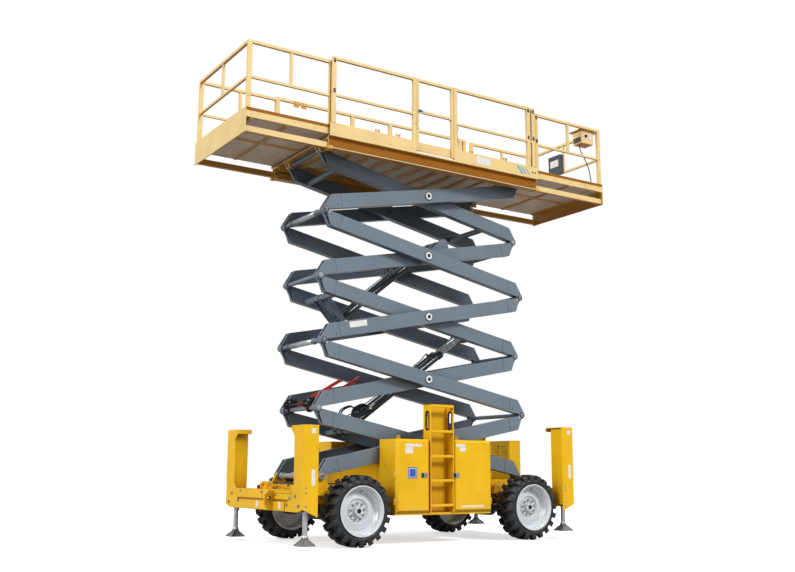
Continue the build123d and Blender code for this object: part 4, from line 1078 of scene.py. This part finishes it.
def rail_details():
    """Pads, locking pins and hinge blocks on the main rails, and the gate posts' lanyards and latch."""
    piece = Piece("rail_fittings", "platform", "steel")
    y = 0.895
    for side in (-1, 1):
        for x in (-1.810, 1.670, 1.770):
            for z in (rail_top - 0.055, rail_mid + 0.045):
                post_pin(piece, x, side * y, z, side)
            piece.box(x - 0.033, x + 0.033, side * 0.872, side * 0.918, floor_top + 0.179, floor_top + 0.188,
                      "platform_paint")
        # hinge blocks at the foot of the rails
        for x in (-1.10, -0.75, 0.55, 1.20):
            for a, b in ((-0.030, -0.018), (0.018, 0.030)):
                piece.box(x + a, x + b, side * 0.880, side * 0.912, toe_top - 0.004, toe_top + 0.052,
                          "platform_paint")
            piece.pin((x, side * 0.896, toe_top + 0.030), X, -0.036, 0.036, 0.006, None, 12)
    lanyard = [(0.026, 0.002, -0.04), (0.044, 0.004, -0.10), (0.022, 0.002, -0.16), (0.042, 0.004, -0.23),
               (0.030, 0.006, -0.30)]
    face = -y - 0.020
    for x in (-0.480, 0.255):
        for z in (rail_top - 0.10, rail_mid + 0.05, rail_mid - 0.16, floor_top + 0.26):
            piece.pin((x, face, z), -Y, 0, 0.004, 0.007, None, 12)
        piece.hose([(x + a, face + b, rail_mid + c) for a, b, c in lanyard], 0.004, sides=8)
    # gate latch on its post
    piece.box(-0.500, -0.452, -0.872, -0.862, rail_mid + 0.02, rail_mid + 0.10)
    piece.pin((-0.476, -0.860, rail_mid + 0.06), Y, 0, 0.014, 0.012, "black", 14)
    # folding-rail latch on the far side
    for x in (-1.49, -1.36):
        piece.box(x - 0.050, x + 0.050, 0.868, 0.876, rail_top - 0.10, rail_top - 0.005, "orange")
        piece.pin((x, 0.862, rail_top - 0.05), Y, 0, 0.018, 0.014, "black", 16)
        piece.rod((x - 0.030, 0.864, rail_top - 0.075), (x + 0.030, 0.864, rail_top - 0.025), 0.006,
                  None, 10)
    piece.make()


def gate_details():
    """Latch and screws on the entry gate."""
    piece = Piece("gate_fittings", "gate", "steel", origin=(0, -0.890, 0))
    piece.box(-0.428, -0.330, -0.026, -0.0155, rail_mid + 0.012, rail_mid + 0.072)
    piece.pin((-0.385, 0, rail_mid + 0.045), -Y, 0.026, 0.036, 0.014, "black", 18)
    piece.box(-0.425, -0.350, -0.034, -0.026, rail_mid + 0.040, rail_mid + 0.050, "black")
    for x in (-0.425, 0.205):
        for z in (rail_top - 0.030, floor_top + 0.090):
            piece.pin((x, 0, z), -Y, 0.020, 0.0235, 0.006, None, 12)
    piece.make()


def extension_details(end):
    """Pads, pins and screws on the posts, and the side boards' lips, one a band of painted shade, and
    screws.
    """
    sign, tip, main = extension_ends(end)
    piece = Piece(f"{end}_extension_fittings", f"{end}_extension", "platform_paint")
    y, outer = 0.838, tip - sign * 0.016
    for side in (-1, 1):
        for z in (rail_mid - 0.016, extension_top - 0.020):
            piece.pin((outer - sign * 0.020, side * y, z), Y * side, 0.0195, 0.0225, 0.011, "steel", 14)
        for z in (extension_top - 0.060, rail_mid + 0.045):
            post_pin(piece, main + 0.040, side * y, z, side)
        post_pin(piece, outer - sign * 0.030, side * y, extension_floor + 0.30, side, "platform_paint")
        # lips at the foot and head of the side board; the one at the head is a band of painted shade
        for near, far, low, high, look in ((0.8675, 0.8715, 5.562, 5.6055, "amber_web"),
                                           (0.8675, 0.8705, 5.472, 5.484, None),
                                           (0.790, 0.850, 5.2785, 5.2805, None)):
            piece.box(tip - sign * 0.012, main - sign * 0.140, side * near, side * far, low, high, look)
        for k in range(4):
            screw = (tip - sign * (0.10 + 0.31 * k), side * 0.870, 5.530)
            piece.pin(screw, Y * side, 0, 0.003, 0.007, "steel", 12)
    piece.make()


def control_details():
    """Keys, knob, plates and plugs on the control box, and its cable down to the deck."""
    x, y, top = tips["front"][1] - 0.130, -0.8177, extension_top - 0.060
    piece = Piece("control_fittings", "front_extension", "black", bevel=0.0012, origin=(x, y, top))
    back, low, width = -0.260, -0.200, 0.200
    # grey panel with its keys on the side that faces the deck
    piece.box(back - 0.004, back, 0.015, 0.185, low + 0.010, -0.105, "grey_plastic")
    for k in range(4):
        for row in range(2):
            key = (back, 0.040 + 0.040 * k, low + 0.035 + 0.032 * row)
            piece.pin(key, -X, 0.004, 0.010, 0.008, "steel" if (k + row) % 2 else "black", 14)
    # selector knob, its scale and a small plate on the outer side, the speaker below and a lid on top
    knob = (back + 0.095, 0, -0.085)
    piece.ring(knob, -Y, 0.030, 0.046, 0.002, "white_plate")
    piece.pin(knob, -Y, 0, 0.020, 0.027, None, 28, 0.022)
    piece.box(back + 0.165, back + 0.225, -0.0015, 0.001, -0.125, -0.045, "white_plate")
    piece.pin((back + 0.095, 0.075, low), -Z, 0, 0.004, 0.050, None, 36)
    piece.box(-0.245, -0.015, 0.010, 0.190, 0, 0.004)
    # plugs and screws on the inner side
    piece.pin((-0.130, width, -0.060), Y, 0, 0.035, 0.022, None, 20, 0.016)
    piece.pin((-0.130, width, -0.150), Y, 0, 0.012, 0.034, "steel", 24)
    piece.pin((-0.130, width, -0.150), Y, 0.012, 0.022, 0.024, None, 24)
    for x in (-0.235, -0.025):
        for z in (-0.022, -0.188):
            piece.bolt((x, width, z), Y, 0.006, 0.005)
    piece.hose([(-0.200, 0.100, -0.208), (-0.200, 0.100, -0.30), (-0.170, 0.040, -0.46),
                (-0.120, 0.010, -0.62), (-0.080, 0.006, -0.80), (-0.060, 0.006, 5.500 - top)], 0.008)
    piece.make()


def document_details():
    """Lid, catch, end strips and blank plate on the document holder."""
    piece = Piece("document_fittings", "front_extension", "grey_plastic", bevel=0.004,
                  origin=(tips["front"][1] - 0.1273, 0, rail_mid))
    depth, low, high = 0.075, -0.033, 0.290
    piece.box(-0.006, depth - 0.001, -0.016, 0.286, high - 0.060, high + 0.006)
    piece.box(-0.0075, -0.002, 0.030, 0.235, low + 0.125, high - 0.075, "white_plate")
    piece.box(-0.006, 0.001, 0.115, 0.155, high - 0.085, high - 0.050, "black")
    for y in (-0.008, 0.278):
        piece.box(-0.003, depth - 0.004, y - 0.006, y + 0.006, low - 0.004, high - 0.062)
    piece.make()


deck_details()
deck_bays = [(deck_x[0] + n * deck_bay + 0.061, deck_x[0] + (n + 1) * deck_bay - 0.001) for n in range(12)]
floor_panels("deck_panels", "platform", deck_bays, ((-0.537, 0.537),), 5.440)
for end in tips:
    floor_panels(f"{end}_extension_panels", f"{end}_extension", end_bays(end),
                 ((-0.850, -0.027), (0.027, 0.850)), 5.476)
rail_details()
gate_details()
for end in tips:
    extension_details(end)
control_details()
document_details()
